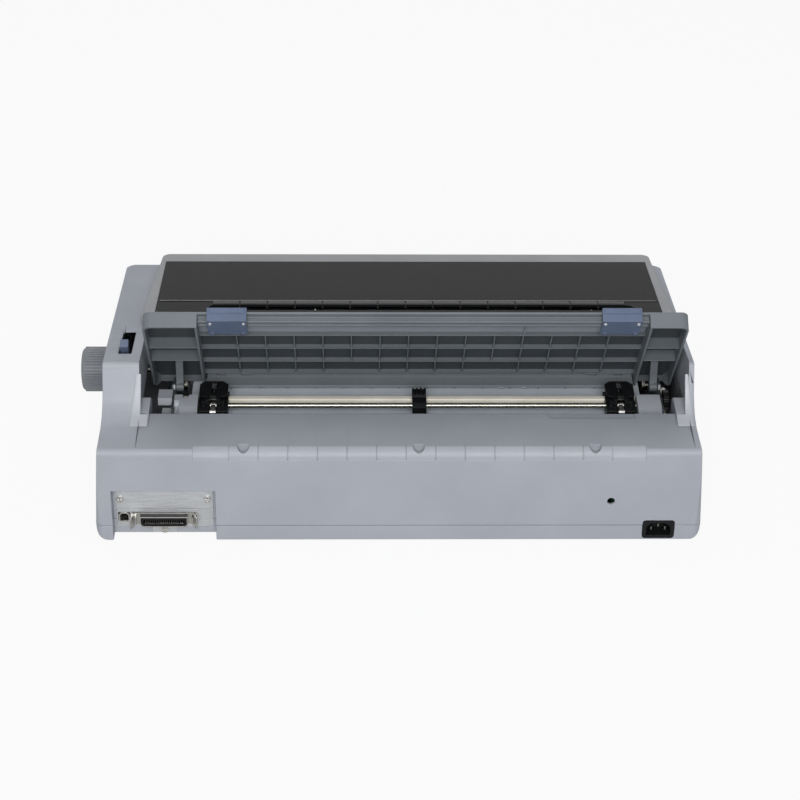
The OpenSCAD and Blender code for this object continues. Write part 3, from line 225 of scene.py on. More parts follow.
def unevenGloss(tree, skin, place, look):
    # handling and dust leave the sheen patchy
    rub = addNode(tree, "ShaderNodeTexNoise", {"Scale": 1000 / look["rubMm"], "Detail": 3.0},
                  {"Vector": place.outputs["Object"]})
    gloss = addNode(tree, "ShaderNodeMapRange",
                    {"From Min": 0.3, "From Max": 0.7, "To Min": look["roughness"] - look["roughSpread"],
                     "To Max": look["roughness"] + look["roughSpread"]}, {"Value": rub.outputs["Fac"]})
    tree.links.new(gloss.outputs["Result"], skin.inputs["Roughness"])


def edgeAndGrain(tree, skin, grainSocket, look):
    # the tool's rounded corners catch the light, and the grain lies over them
    corner = addNode(tree, "ShaderNodeBevel", {"samples": 4, "Radius": look["cornerMm"] / 1000})
    bump = addNode(tree, "ShaderNodeBump", {"Strength": look["grainStrength"], "Distance": look["grainDepthMm"] / 1000},
                   {"Height": grainSocket, "Normal": corner.outputs["Normal"]})
    tree.links.new(bump.outputs["Normal"], skin.inputs["Normal"])


def texturedMoulding(name, look):
    # ABS from a spark-eroded tool: fine pebbled grain that breaks the sheen into a soft, broad highlight
    # the real grain is about 0.2 mm; it is drawn coarser, as grainMm, so that it shows
    mat, tree, skin = newFinish(name)
    place = addNode(tree, "ShaderNodeTexCoord")
    tonedBase(tree, skin, place, look)
    unevenGloss(tree, skin, place, look)
    pebble = addNode(tree, "ShaderNodeTexNoise", {"Scale": 1000 / look["grainMm"], "Detail": 2.0, "Roughness": 0.6},
                     {"Vector": place.outputs["Object"]})
    edgeAndGrain(tree, skin, pebble.outputs["Fac"], look)
    skin.inputs["IOR"].default_value = 1.53
    skin.inputs["Specular IOR Level"].default_value = look.get("specular", 0.4)
    return mat


def smokedAcrylic(name, look):
    # extruded smoked sheet: nearly black, a little light gets through, fine wiping scratches in the gloss
    mat, tree, skin = newFinish(name)
    place = addNode(tree, "ShaderNodeTexCoord")
    tonedBase(tree, skin, place, look)
    # the wiping runs along x: 25 mm long and about 1 mm wide
    stretch = addNode(tree, "ShaderNodeMapping", {"Scale": (40.0, 900.0, 900.0)}, {"Vector": place.outputs["Object"]})
    wipe = addNode(tree, "ShaderNodeTexNoise", {"Scale": 1.0, "Detail": 4.0, "Roughness": 0.7},
                   {"Vector": stretch.outputs["Vector"]})
    gloss = addNode(tree, "ShaderNodeMapRange",
                    {"From Min": 0.35, "From Max": 0.7, "To Min": look["roughness"],
                     "To Max": look["roughness"] + look["roughSpread"]}, {"Value": wipe.outputs["Fac"]})
    tree.links.new(gloss.outputs["Result"], skin.inputs["Roughness"])
    skin.inputs["IOR"].default_value = 1.49
    skin.inputs["Specular IOR Level"].default_value = look["specular"]
    skin.inputs["Alpha"].default_value = look["alpha"]
    return mat


def groundRubber(name, look):
    # nitrile rubber ground on a lathe: matt, with faint rings from the wheel
    mat, tree, skin = newFinish(name)
    place = addNode(tree, "ShaderNodeTexCoord")
    tonedBase(tree, skin, place, look)
    rings = addNode(tree, "ShaderNodeMapping", {"Scale": (1000 / look["ringMm"], 30.0, 30.0)},
                    {"Vector": place.outputs["Object"]})
    turned = addNode(tree, "ShaderNodeTexNoise", {"Scale": 1.0, "Detail": 2.0}, {"Vector": rings.outputs["Vector"]})
    edgeAndGrain(tree, skin, turned.outputs["Fac"], look)
    skin.inputs["Roughness"].default_value = look["roughness"]
    skin.inputs["IOR"].default_value = 1.52
    skin.inputs["Specular IOR Level"].default_value = 0.3
    return mat


rolledSpread = {"smoother": 0.08, "rougher": 0.1}


def zincSheet(name, look):
    # zinc-plated steel: pale metal with a faint crystal spangle and rolling lines
    mat, tree, skin = newFinish(name)
    place = addNode(tree, "ShaderNodeTexCoord")
    spangle = addNode(tree, "ShaderNodeTexVoronoi", {"Scale": 1000 / look["spangleMm"]},
                      {"Vector": place.outputs["Object"]})
    tone = addNode(tree, "ShaderNodeMix",
                   {"data_type": "RGBA", 6: hexColour(look["tone"]), 7: hexColour(look["shade"])},
                   {0: spangle.outputs["Distance"]})
    tree.links.new(tone.outputs[2], skin.inputs["Base Color"])
    stretch = addNode(tree, "ShaderNodeMapping", {"Scale": look["lay"]}, {"Vector": place.outputs["Object"]})
    lines = addNode(tree, "ShaderNodeTexNoise", {"Scale": 1.0, "Detail": 3.0}, {"Vector": stretch.outputs["Vector"]})
    gloss = addNode(tree, "ShaderNodeMapRange",
                    {"From Min": 0.3, "From Max": 0.7, "To Min": look["roughness"] - rolledSpread["smoother"],
                     "To Max": look["roughness"] + rolledSpread["rougher"]}, {"Value": lines.outputs["Fac"]})
    tree.links.new(gloss.outputs["Result"], skin.inputs["Roughness"])
    edgeAndGrain(tree, skin, lines.outputs["Fac"], look)
    skin.inputs["Metallic"].default_value = 1.0
    return mat


def solderMask(name, look):
    # green mask over copper: raised tracks, a glassy surface
    mat, tree, skin = newFinish(name)
    place = addNode(tree, "ShaderNodeTexCoord")
    tracks = addNode(tree, "ShaderNodeTexBrick",
                     {"Scale": 1000 / look["trackMm"], "Color1": hexColour(look["tone"]),
                      "Color2": hexColour(look["shade"]), "Mortar": hexColour(look["track"]),
                      "Mortar Size": look["trackWide"]},
                     {"Vector": place.outputs["Object"]})
    tree.links.new(tracks.outputs["Color"], skin.inputs["Base Color"])
    edgeAndGrain(tree, skin, tracks.outputs["Fac"], look)
    skin.inputs["Roughness"].default_value = look["roughness"]
    skin.inputs["IOR"].default_value = 1.55
    return mat


def toothedRubber(name, look):
    # reinforced neoprene belt: matt black, teeth across it
    mat, tree, skin = newFinish(name)
    place = addNode(tree, "ShaderNodeTexCoord")
    tonedBase(tree, skin, place, look)
    teeth = addNode(tree, "ShaderNodeTexWave",
                    {"wave_type": "BANDS", "bands_direction": "X", "Scale": look["toothScale"]},
                    {"Vector": place.outputs["Object"]})
    edgeAndGrain(tree, skin, teeth.outputs["Fac"], look)
    skin.inputs["Roughness"].default_value = look["roughness"]
    return mat


def litLens(name, look):
    # dyed polycarbonate over a small lamp
    mat, tree, skin = newFinish(name)
    place = addNode(tree, "ShaderNodeTexCoord")
    tone = tonedBase(tree, skin, place, look)
    skin.inputs["Roughness"].default_value = 0.18
    skin.inputs["IOR"].default_value = 1.58
    tree.links.new(tone.outputs[2], skin.inputs["Emission Color"])
    skin.inputs["Emission Strength"].default_value = look["glow"]
    return mat


mouldings = {
    "case_plastic": {"name": "greyAbsCase", "tone": "#A2A5AC", "shade": "#9C9FA6", "driftMm": 90, "rubMm": 40,
                     "roughness": 0.52, "roughSpread": 0.06, "grainMm": 1.1, "grainStrength": 0.16,
                     "grainDepthMm": 0.25, "cornerMm": 0.9},
    "cover_plastic": {"name": "greyAbsCover", "tone": "#9C9D9E", "shade": "#969798", "driftMm": 80, "rubMm": 36,
                      "roughness": 0.5, "roughSpread": 0.06, "grainMm": 1.1, "grainStrength": 0.16,
                      "grainDepthMm": 0.25, "cornerMm": 0.9},
    "guide_plastic": {"name": "slateAbsGuide", "tone": "#70767A", "shade": "#696F73", "driftMm": 70,
                      "rubMm": 30, "roughness": 0.5, "roughSpread": 0.07, "grainMm": 1.0, "grainStrength": 0.18,
                      "grainDepthMm": 0.25, "cornerMm": 0.6},
    # painted light: a lighter copy of the guide plastic for the band past the cells
    "guide_band_painted_light": {"name": "slateAbsGuideBandPaintedLight", "tone": "#8C9399", "shade": "#848B91", "driftMm": 70,
                   "rubMm": 30, "roughness": 0.5, "roughSpread": 0.07, "grainMm": 1.0, "grainStrength": 0.18,
                   "grainDepthMm": 0.25, "cornerMm": 0.6},
    # painted shade: a darker copy of the guide plastic for the rib sides and the arms
    "guide_ribs_painted_shade": {"name": "slateAbsGuideRibsPaintedShade", "tone": "#575C60", "shade": "#52575B", "driftMm": 70,
                   "rubMm": 30, "roughness": 0.55, "roughSpread": 0.07, "grainMm": 1.0, "grainStrength": 0.18,
                   "grainDepthMm": 0.25, "cornerMm": 0.6},
    # painted shade: the darkest copy of the guide plastic, for the cell floors and the rib sides that face the hinge
    "guide_cells_painted_shade": {"name": "slateAbsGuideCellsPaintedShade", "tone": "#404548", "shade": "#3B4043", "driftMm": 70,
                    "rubMm": 30, "roughness": 0.6, "roughSpread": 0.07, "specular": 0.25, "grainMm": 1.0,
                    "grainStrength": 0.18, "grainDepthMm": 0.25, "cornerMm": 0.6},
    "blue_plastic": {"name": "blueAbsLever", "tone": "#5D6980", "shade": "#566279", "driftMm": 30, "rubMm": 14,
                     "roughness": 0.42, "roughSpread": 0.06, "grainMm": 0.9, "grainStrength": 0.1,
                     "grainDepthMm": 0.2, "cornerMm": 0.5},
    "knob_plastic": {"name": "darkAbsKnob", "tone": "#7E8185", "shade": "#76797D", "driftMm": 25, "rubMm": 12,
                     "roughness": 0.46, "roughSpread": 0.06, "grainMm": 0.9, "grainStrength": 0.12,
                     "grainDepthMm": 0.2, "cornerMm": 0.4},
    "white_acetal": {"name": "naturalAcetalGear", "tone": "#D9D8D2", "shade": "#D0CFC8", "driftMm": 20,
                     "rubMm": 8, "roughness": 0.32, "roughSpread": 0.05, "grainMm": 0.9, "grainStrength": 0.05,
                     "grainDepthMm": 0.1, "cornerMm": 0.3},
    "cream_acetal": {"name": "creamAcetalBar", "tone": "#F0EADC", "shade": "#E6DFCF", "driftMm": 30,
                     "rubMm": 10, "roughness": 0.3, "roughSpread": 0.05, "grainMm": 1.0, "grainStrength": 0.05,
                     "grainDepthMm": 0.1, "cornerMm": 0.4},
    "black_plastic": {"name": "blackNylonMoulding", "tone": "#131415", "shade": "#0F1011", "driftMm": 20,
                      "rubMm": 9, "roughness": 0.42, "roughSpread": 0.08, "specular": 0.25, "grainMm": 0.9,
                      "grainStrength": 0.12, "grainDepthMm": 0.2, "cornerMm": 0.4},
    "bracket_plastic": {"name": "paleAbsBracket", "tone": "#A9ADB2", "shade": "#A1A5AA", "driftMm": 24,
                        "rubMm": 10, "roughness": 0.45, "roughSpread": 0.06, "grainMm": 0.9,
                        "grainStrength": 0.1, "grainDepthMm": 0.2, "cornerMm": 0.5},
    "path_steel": {"name": "enamelledPathSheet", "tone": "#DDE3EA", "shade": "#D5DBE2", "driftMm": 60,
                   "rubMm": 20, "roughness": 0.38, "roughSpread": 0.06, "grainMm": 1.4, "grainStrength": 0.12,
                   "grainDepthMm": 0.15, "cornerMm": 0.5},
    "motor_steel": {"name": "blackenedMotorCan", "tone": "#2E2F32", "shade": "#26272A", "driftMm": 18,
                    "rubMm": 8, "roughness": 0.36, "roughSpread": 0.06, "grainMm": 1.0, "grainStrength": 0.1,
                    "grainDepthMm": 0.15, "cornerMm": 0.5},
    # painted shade: a darker copy of the path plate's finish for its shelf
    "path_shade": {"name": "paintedShadePathShelf", "tone": "#72787C", "shade": "#6B7175", "driftMm": 60, "rubMm": 20,
                   "roughness": 0.55, "roughSpread": 0.06, "grainMm": 1.4, "grainStrength": 0.12,
                   "grainDepthMm": 0.15, "cornerMm": 0.5},
    "button_plastic": {"name": "paleAbsKey", "tone": "#C0C2C6", "shade": "#B9BBC0", "driftMm": 12, "rubMm": 6,
                       "roughness": 0.44, "roughSpread": 0.05, "grainMm": 0.8, "grainStrength": 0.1,
                       "grainDepthMm": 0.2, "cornerMm": 0.6},
}
metals = {
    "plated_steel": {"name": "zincPlatedSheet", "tone": "#D4D6D8", "shade": "#CCCED0", "spangleMm": 2.2,
                     "lay": (60.0, 900.0, 900.0), "roughness": 0.52, "grainStrength": 0.06, "grainDepthMm": 0.1,
                     "cornerMm": 0.3},
    "ground_steel": {"name": "groundSteelRod", "tone": "#8E8D86", "shade": "#85847D", "spangleMm": 9,
                     "lay": (1100.0, 20.0, 20.0), "roughness": 0.3, "grainStrength": 0.04, "grainDepthMm": 0.08,
                     "cornerMm": 0.3},
    "dull_zinc": {"name": "dullZincFrame", "tone": "#77797C", "shade": "#6F7174", "spangleMm": 3,
                  "lay": (300.0, 300.0, 300.0), "roughness": 0.58, "grainStrength": 0.06, "grainDepthMm": 0.1,
                  "cornerMm": 0.2},
    "brass": {"name": "turnedBrass", "tone": "#C9A659", "shade": "#B8954B", "spangleMm": 6,
              "lay": (1100.0, 40.0, 40.0), "roughness": 0.26, "grainStrength": 0.05, "grainDepthMm": 0.1,
              "cornerMm": 0.2},
    "cast_head": {"name": "blackenedDieCasting", "tone": "#54565A", "shade": "#484A4E", "spangleMm": 3,
                  "lay": (700.0, 700.0, 700.0), "roughness": 0.45, "grainStrength": 0.2, "grainDepthMm": 0.2,
                  "cornerMm": 0.4},
    "screw_steel": {"name": "chromatedScrew", "tone": "#C6C5C1", "shade": "#BAB9B5", "spangleMm": 4,
                    "lay": (500.0, 500.0, 500.0), "roughness": 0.42, "grainStrength": 0.06, "grainDepthMm": 0.1,
                    "cornerMm": 0.2},
    "port_shell": {"name": "nickelPlatedShell", "tone": "#C9C7C1", "shade": "#BAB8B2", "spangleMm": 4,
                   "lay": (80.0, 1000.0, 900.0), "roughness": 0.4, "grainStrength": 0.04, "grainDepthMm": 0.08,
                   "cornerMm": 0.3},
}
rubbers = {
    "platen_rubber": {"name": "groundNitrileRoller", "tone": "#2A2A2C", "shade": "#232325", "driftMm": 60,
                      "ringMm": 1.6, "roughness": 0.62, "grainStrength": 0.15, "grainDepthMm": 0.15,
                      "cornerMm": 0.5},
    "feet_rubber": {"name": "mouldedRubberFoot", "tone": "#2B2B2C", "shade": "#242425", "driftMm": 14,
                    "ringMm": 2.2, "roughness": 0.7, "grainStrength": 0.12, "grainDepthMm": 0.2,
                    "cornerMm": 0.5},
}
windowLook = {"tone": "#232324", "shade": "#212122", "driftMm": 160, "roughness": 0.22, "roughSpread": 0.04,
              "specular": 0.04, "alpha": 0.96}
stripLook = {"tone": "#303032", "shade": "#2C2C2E", "driftMm": 60, "roughness": 0.25, "roughSpread": 0.04,
             "specular": 0.15, "alpha": 1.0}
# painted highlight: a pale grey acrylic for the thin bar that stands for the light on the window's crease
highlightLineLook = {"tone": "#7E7E7E", "shade": "#777777", "driftMm": 60, "roughness": 0.25, "roughSpread": 0.1,
            "specular": 0.4, "alpha": 1.0}
# painted light: a lighter copy of the case plastic for the cheeks on the shoulders
cheekPaintedLightLook = {"tone": "#B0B3B8", "shade": "#AAADB2", "driftMm": 40, "rubMm": 18, "roughness": 0.42,
             "roughSpread": 0.05, "grainMm": 1.0, "grainStrength": 0.1, "grainDepthMm": 0.2, "cornerMm": 0.9}
lensLook = {"tone": "#3E8E4C", "shade": "#387F45", "driftMm": 4, "glow": 0.25}
boardLook = {"tone": "#1E5B3C", "shade": "#1B5337", "track": "#2C7450", "trackMm": 6, "trackWide": 0.08,
             "roughness": 0.28, "grainStrength": 0.3, "grainDepthMm": 0.1, "cornerMm": 0.2}
beltLook = {"tone": "#1B1B1D", "shade": "#161617", "driftMm": 10, "toothScale": 50, "roughness": 0.7,
            "grainStrength": 0.6, "grainDepthMm": 0.6, "cornerMm": 0.2}

finish = {slot: texturedMoulding(look["name"], look) for slot, look in mouldings.items()}
finish.update({slot: zincSheet(look["name"], look) for slot, look in metals.items()})
finish.update({slot: groundRubber(look["name"], look) for slot, look in rubbers.items()})
finish["smoked_window"] = smokedAcrylic("smokedAcrylicSheet", windowLook)
finish["board_green"] = solderMask("solderMaskBoard", boardLook)
finish["belt_rubber"] = toothedRubber("toothedNeopreneBelt", beltLook)
finish["slot_strip"] = smokedAcrylic("smokedAcrylicStrip", stripLook)
finish["slot_line"] = smokedAcrylic("paintedHighlightAcrylicLine", highlightLineLook)
finish["cheek_painted_light"] = texturedMoulding("paintedLightAbsCheek", cheekPaintedLightLook)
finish["lamp_lens"] = litLens("greenLampLens", lensLook)
print("finishes made:", len(finish))

slotOf = {part["node"]: part["material_slot"] for part in frame["record"]["subparts"]}
bodyOf = {node: body for body, held in frame["record"]["behaviour"]["bodies"].items() for node in held}
# small bright hardware and the dull plates differ from the rest of their slot
brightHardware = ("interface_screws", "clip_left", "clip_right", "lock_left", "lock_right")
finishOf = {**slotOf, **{name: "screw_steel" for name in brightHardware}, "side_frames": "dull_zinc"}
for name, obj in nodes.items():
    obj.data.materials.clear()
    obj.data.materials.append(finish[finishOf[name]])


# rubber sleeves on the paper bail
bailSleeves = {"radius": 0.0055, "length": 0.0184, "pitch": 0.084, "count": 5, "round": 0.0007,
               "rodIn": 0.0046, "rodDown": 0.005}


def makeBailSleeves():
    low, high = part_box("paper_bail")
    rodY = low[1] + bailSleeves["rodIn"]
    rodZ = high[2] - bailSleeves["rodDown"]
    middleX = (low[0] + high[0]) / 2
    first = middleX - bailSleeves["pitch"] * (bailSleeves["count"] - 1) / 2
    bpy.ops.object.select_all(action="DESELECT")
    bpy.ops.mesh.primitive_cylinder_add(vertices=40, radius=bailSleeves["radius"], depth=bailSleeves["length"],
                                        location=(first, rodY, rodZ), rotation=(0, math.pi / 2, 0))
    sleeve = settle(bpy.context.object)
    bevelled(sleeve, bailSleeves["round"], 3, 40)
    shifts = [Vector((bailSleeves["pitch"] * i, 0, 0)) for i in range(1, bailSleeves["count"])]
    return dress(copies(sleeve, shifts, "bailSleeves"), finish["platen_rubber"], "bail")


# the guide's own plane: x, along it from the hinge, height over it
guidePlane = {"pivot": (0.066, 0.099), "tilt": 54.8}
guideSpace = (Matrix.Rotation(math.radians(-guidePlane["tilt"]), 4, "X")
              @ Matrix.Translation((0, -guidePlane["pivot"][0], -guidePlane["pivot"][1])))
# painted light and shade on the guide: the cell floors and the rib sides are painted darker as painted shade, and a
# band past the cells is painted lighter as painted light
guidePaintedShading = (
    {"finish": "guide_cells_painted_shade", "facing": (0, 0, -1), "least": 0.8,
     "boxes": (((-0.251, -0.04, 0.0235), (0.201, 0.0795, 0.0275)), ((0.186, -0.04, 0.0235), (0.26, 0.122, 0.0275)),
               ((-0.31, -0.04, 0.0235), (-0.26, 0.122, 0.0275)))},
    {"finish": "guide_band_painted_light", "facing": (0, 0, -1), "least": 0.8,
     "boxes": (((-0.2635, 0.0797, 0.0235), (0.1865, 0.097, 0.0275)),)},
    {"finish": "guide_ribs_painted_shade", "facing": (0, 1, 0), "least": 0.8,
     "boxes": (((-0.3, -0.04, 0.0), (0.3, 0.118, 0.0262)),)},
    {"finish": "guide_cells_painted_shade", "facing": (0, -1, 0), "least": 0.8,
     "boxes": (((-0.3, -0.03, 0.0), (0.3, 0.119, 0.0262)),)},
    # the arms at both ends are painted in the darker rib tone, as painted shade
    {"finish": "guide_ribs_painted_shade", "facing": (0, 0, 0), "least": -1,
     "boxes": (((-0.3, -0.012, -0.006), (-0.255, 0.026, 0.0262)), ((0.205, -0.012, -0.006), (0.225, 0.026, 0.0262)))},
)


# rounded edges of the mouldings
roundedMouldings = {
    "upper_case": {"name": "upperCaseShell", "round": 0.0007, "shortest": 0.006,
                   # the feet of the cheeks on the ledge are painted pale too, as painted light
                   "regions": ({"finish": "cheek_painted_light", "facing": (0, 0, 1), "least": 0.3,
                                "boxes": (((0.2358, 0.1075, 0.1069), (0.2452, 0.1445, 0.1126)),
                                          ((-0.3064, 0.1075, 0.1069), (-0.2937, 0.1445, 0.1126)))},)},
    "lower_case": {"name": "lowerCaseTray", "round": 0.0007, "shortest": 0.006},
    "cover_frame": {"name": "coverSurround", "round": 0.0007, "shortest": 0.006},
    "paper_guide": {"name": "ribbedGuide", "round": 0.00035, "shortest": 0.004, "plane": guideSpace,
                    "regions": guidePaintedShading},
    "guide_rail": {"name": "guideRailStrip", "round": 0.0004, "shortest": 0.004},
    "edge_guide_left": {"name": "edgeGuideLeft", "round": 0.0004, "shortest": 0.003},
    "edge_guide_right": {"name": "edgeGuideRight", "round": 0.0004, "shortest": 0.003},
    "paper_path": {"name": "pathPlate", "round": 0.0003, "shortest": 0.02,
                   # the shelf of the path plate is painted darker, as painted shade
                   "regions": ({"finish": "path_shade", "facing": (0, 0, 0), "least": -1,
                                "boxes": (((-0.3, 0.02, 0.0808), (0.3, 0.0502, 0.094)),)},)},
    "parallel_port": {"name": "wideSocketShell", "round": 0.0002, "shortest": 0.005,
                      # the shell's upward faces in front of the plate are painted black, as a painted shadow over the
                      # metal
                      "regions": ({"finish": "black_plastic", "facing": (0, 0, 1), "least": 0.6,
                                   "boxes": (((0.19, 0.188, 0.0), (0.25, 0.1969, 0.04)),)},)},
    "front_cover": {"name": "frontFlap", "round": 0.0005, "shortest": 0.004},
    "tractor_brackets": {"name": "rodBrackets", "round": 0.0005, "shortest": 0.003},
    "tractor_left": {"name": "tractorBodyLeft", "round": 0.0004, "shortest": 0.003},
    "tractor_right": {"name": "tractorBodyRight", "round": 0.0004, "shortest": 0.003},
    "tractor_bar": {"name": "squareDriveBar", "round": 0.0004, "shortest": 0.05,
                    "regions": ({"finish": "black_plastic", "facing": (0, 0, 0), "least": -1,
                                 "boxes": (((-0.32, 0.06, 0.07), (-0.2845, 0.11, 0.11)),)},)},
    "button_a": {"name": "keyCapA", "round": 0.0006, "shortest": 0.003},
    "button_b": {"name": "keyCapB", "round": 0.0006, "shortest": 0.003},
    "button_c": {"name": "keyCapC", "round": 0.0006, "shortest": 0.003},
    "button_d": {"name": "keyCapD", "round": 0.0006, "shortest": 0.003},
}

# tapered plates on the rear slope of the shoulders, painted pale as painted light where they face the key light
# profile as (depth, height) just over the slope, from its foot up, and each edge as x at the foot and at the top
# the plate is as wide as its foot up to the step, and as its neck above it
cheekPlates = {"profile": ((0.1565, 0.1079), (0.15, 0.1098), (0.1433, 0.1118), (0.1415, 0.113),
                           (0.1364, 0.1165), (0.1225, 0.1399), (0.1201, 0.1472)),
               "step": 3, "depth": (0, -0.0021, -0.0013), "round": 0.0007,
               "left": {"outer": (0.2542, 0.2484), "foot": (0.2362, 0.2357), "neck": (0.2442, 0.2433)},
               "right": {"outer": (-0.3106, -0.3057), "foot": (-0.2937, -0.2936), "neck": (-0.3026, -0.3024)}}


def makeCheekPlate(edges, name):
    profile = cheekPlates["profile"]
    step = cheekPlates["step"]
    mesh = bmesh.new()
    rows = []
    for y, z in profile:
        share = (z - profile[0][1]) / (profile[-1][1] - profile[0][1])
        rows.append({edge: mesh.verts.new((low + (high - low) * share, y, z)) for edge, (low, high) in edges.items()})
    for i, (low, high) in enumerate(zip(rows, rows[1:])):
        side = "foot" if i < step else "neck"
        shoulder = [high["neck"]] if i == step - 1 else []
        mesh.faces.new([low["outer"], low[side], high[side]] + shoulder + [high["outer"]])
    bmesh.ops.delete(mesh, geom=[vert for vert in mesh.verts if not vert.link_faces], context="VERTS")
    made = bmesh.ops.extrude_face_region(mesh, geom=mesh.faces[:])
    inner = [vert for vert in made["geom"] if isinstance(vert, bmesh.types.BMVert)]
    bmesh.ops.translate(mesh, vec=cheekPlates["depth"], verts=inner)
    bmesh.ops.recalc_face_normals(mesh, faces=mesh.faces[:])
    shape = bpy.data.meshes.new(name)
    mesh.to_mesh(shape)
    mesh.free()
    plate = bpy.data.objects.new(name, shape)
    bpy.context.collection.objects.link(plate)
    bevelled(plate, cheekPlates["round"], 3, 40)
    return dress(plate, finish["cheek_painted_light"], "printer")


# sockets at the rear
wideSocket = {"plateWide": 0.0457, "plateHigh": 0.0099, "plateBack": 0.0012, "slotWide": 0.0412, "slotHigh": 0.00435,
              "slotDeep": 0.0078, "wall": 0.0001, "gap": 0.0001, "round": 0.0003, "contactPitch": 0.00216,
              "contactCount": 18, "contactWide": 0.0009, "contactHigh": 0.0005, "contactDeep": 0.0056,
              "contactIn": 0.0012, "contactBow": 0.0002, "contactRound": 0.0001}


def pushTo(axisY, wide, high, centre):
    # carries the selected rim to a new depth and size
    bpy.ops.mesh.extrude_region_move()
    mesh = bmesh.from_edit_mesh(bpy.context.object.data)
    rim = [vert for vert in mesh.verts if vert.select]
    halfWide = max(abs(vert.co.x - centre[0]) for vert in rim)
    halfHigh = max(abs(vert.co.z - centre[1]) for vert in rim)
    bpy.ops.transform.resize(value=(wide / 2 / halfWide, 1, high / 2 / halfHigh),
                             center_override=(centre[0], 0, centre[1]))
    bpy.ops.transform.translate(value=(0, axisY - rim[0].co.y, 0))


def makeSocketInsulator():
    low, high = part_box("parallel_port")
    centre = ((low[0] + high[0]) / 2, (low[2] + high[2]) / 2)
    face = high[1] - wideSocket["gap"]
    floor = face - wideSocket["slotDeep"]
    back = face - wideSocket["plateBack"] + wideSocket["gap"]
    plate = (wideSocket["plateWide"], wideSocket["plateHigh"])
    slot = (wideSocket["slotWide"], wideSocket["slotHigh"])
    sleeve = (slot[0] + 2 * wideSocket["wall"], slot[1] + 2 * wideSocket["wall"])
    bpy.ops.object.select_all(action="DESELECT")
    bpy.ops.mesh.primitive_plane_add(size=1, location=(centre[0], floor, centre[1]), rotation=(-math.pi / 2, 0, 0))
    piece = bpy.context.object
    piece.scale = (*slot, 1)
    settle(piece)
    bpy.ops.object.mode_set(mode="EDIT")
    bpy.ops.mesh.select_all(action="SELECT")
    # out of the slot, over the plate's face, round its edge and back to the slot's floor
    steps = ((face, slot), (face, plate), (back, plate), (back, sleeve), (floor - wideSocket["wall"], sleeve))
    for depth, (wide, tall) in steps:
        pushTo(depth, wide, tall, centre)
    bpy.ops.mesh.edge_face_add()
    bpy.ops.mesh.select_all(action="SELECT")
    bpy.ops.mesh.remove_doubles(threshold=meshCare["weld"])
    bpy.ops.mesh.normals_make_consistent(inside=False)
    bpy.ops.object.mode_set(mode="OBJECT")
    piece.name = "socketInsulator"
    bevelled(piece, wideSocket["round"], 2, 40)
    return dress(piece, finish["black_plastic"], "printer")


def makeSocketContacts():
    low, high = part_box("parallel_port")
    middleX = (low[0] + high[0]) / 2
    middleZ = (low[2] + high[2]) / 2
    middleY = high[1] - wideSocket["contactIn"] - wideSocket["contactDeep"] / 2
    first = middleX - wideSocket["contactPitch"] * (wideSocket["contactCount"] - 1) / 2
    rows = []
    for side in (-1, 1):
        seat = middleZ + side * (wideSocket["slotHigh"] / 2 - wideSocket["contactHigh"] / 2)
        bpy.ops.object.select_all(action="DESELECT")
        bpy.ops.mesh.primitive_cube_add(size=1, location=(first, middleY, seat))
        strip = bpy.context.object
        strip.scale = (wideSocket["contactWide"], wideSocket["contactDeep"], wideSocket["contactHigh"])
        settle(strip)
        bpy.ops.object.mode_set(mode="EDIT")
        bpy.ops.mesh.select_all(action="SELECT")
        bpy.ops.mesh.subdivide(number_cuts=1)
        bpy.ops.object.mode_set(mode="OBJECT")
        # the middle of each contact bows into the slot
        for vert in strip.data.vertices:
            if abs(vert.co.y - middleY) < 0.0001 and (vert.co.z - seat) * side < 0.0001:
                vert.co.z -= side * wideSocket["contactBow"]
        bevelled(strip, wideSocket["contactRound"], 1, 40)
        shifts = [Vector((wideSocket["contactPitch"] * i, 0, 0)) for i in range(1, wideSocket["contactCount"])]
        rows.append(copies(strip, shifts, "contactRow"))
    return dress(joined(rows, "socketContacts"), finish["port_shell"], "printer")


squareSocket = {"tongueWide": 0.005, "tongueHigh": 0.0028, "tongueDeep": 0.0092, "linerWide": 0.0082,
                "linerHigh": 0.0082, "linerUp": 0.00025, "linerDeep": 0.0003, "middleUp": 0.0052, "deep": 0.0103,
                "round": 0.0001}


def makeSquareSocketLining():
    low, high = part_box("usb_port")
    middleX = (low[0] + high[0]) / 2
    middleZ = low[2] + squareSocket["middleUp"]
    back = high[1] - squareSocket["deep"]
    parts = []
    for place, size in (((middleX, back + squareSocket["linerDeep"] / 2, middleZ + squareSocket["linerUp"]),
                         (squareSocket["linerWide"], squareSocket["linerDeep"], squareSocket["linerHigh"])),
                        ((middleX, back + squareSocket["tongueDeep"] / 2, middleZ),
                         (squareSocket["tongueWide"], squareSocket["tongueDeep"], squareSocket["tongueHigh"]))):
        bpy.ops.object.select_all(action="DESELECT")
        bpy.ops.mesh.primitive_cube_add(size=1, location=place)
        bpy.context.object.scale = size
        parts.append(bevelled(settle(bpy.context.object), squareSocket["round"], 2, 40))
    return dress(joined(parts, "squareSocketLining"), finish["black_plastic"], "printer")


inletPins = {"wide": 0.0021, "tall": 0.0041, "deep": 0.0131, "tip": 0.0007, "tipIn": 0.0028, "round": 0.0002,
             "places": ((-0.007, -0.0006), (0.0, 0.003), (0.007, -0.0006))}


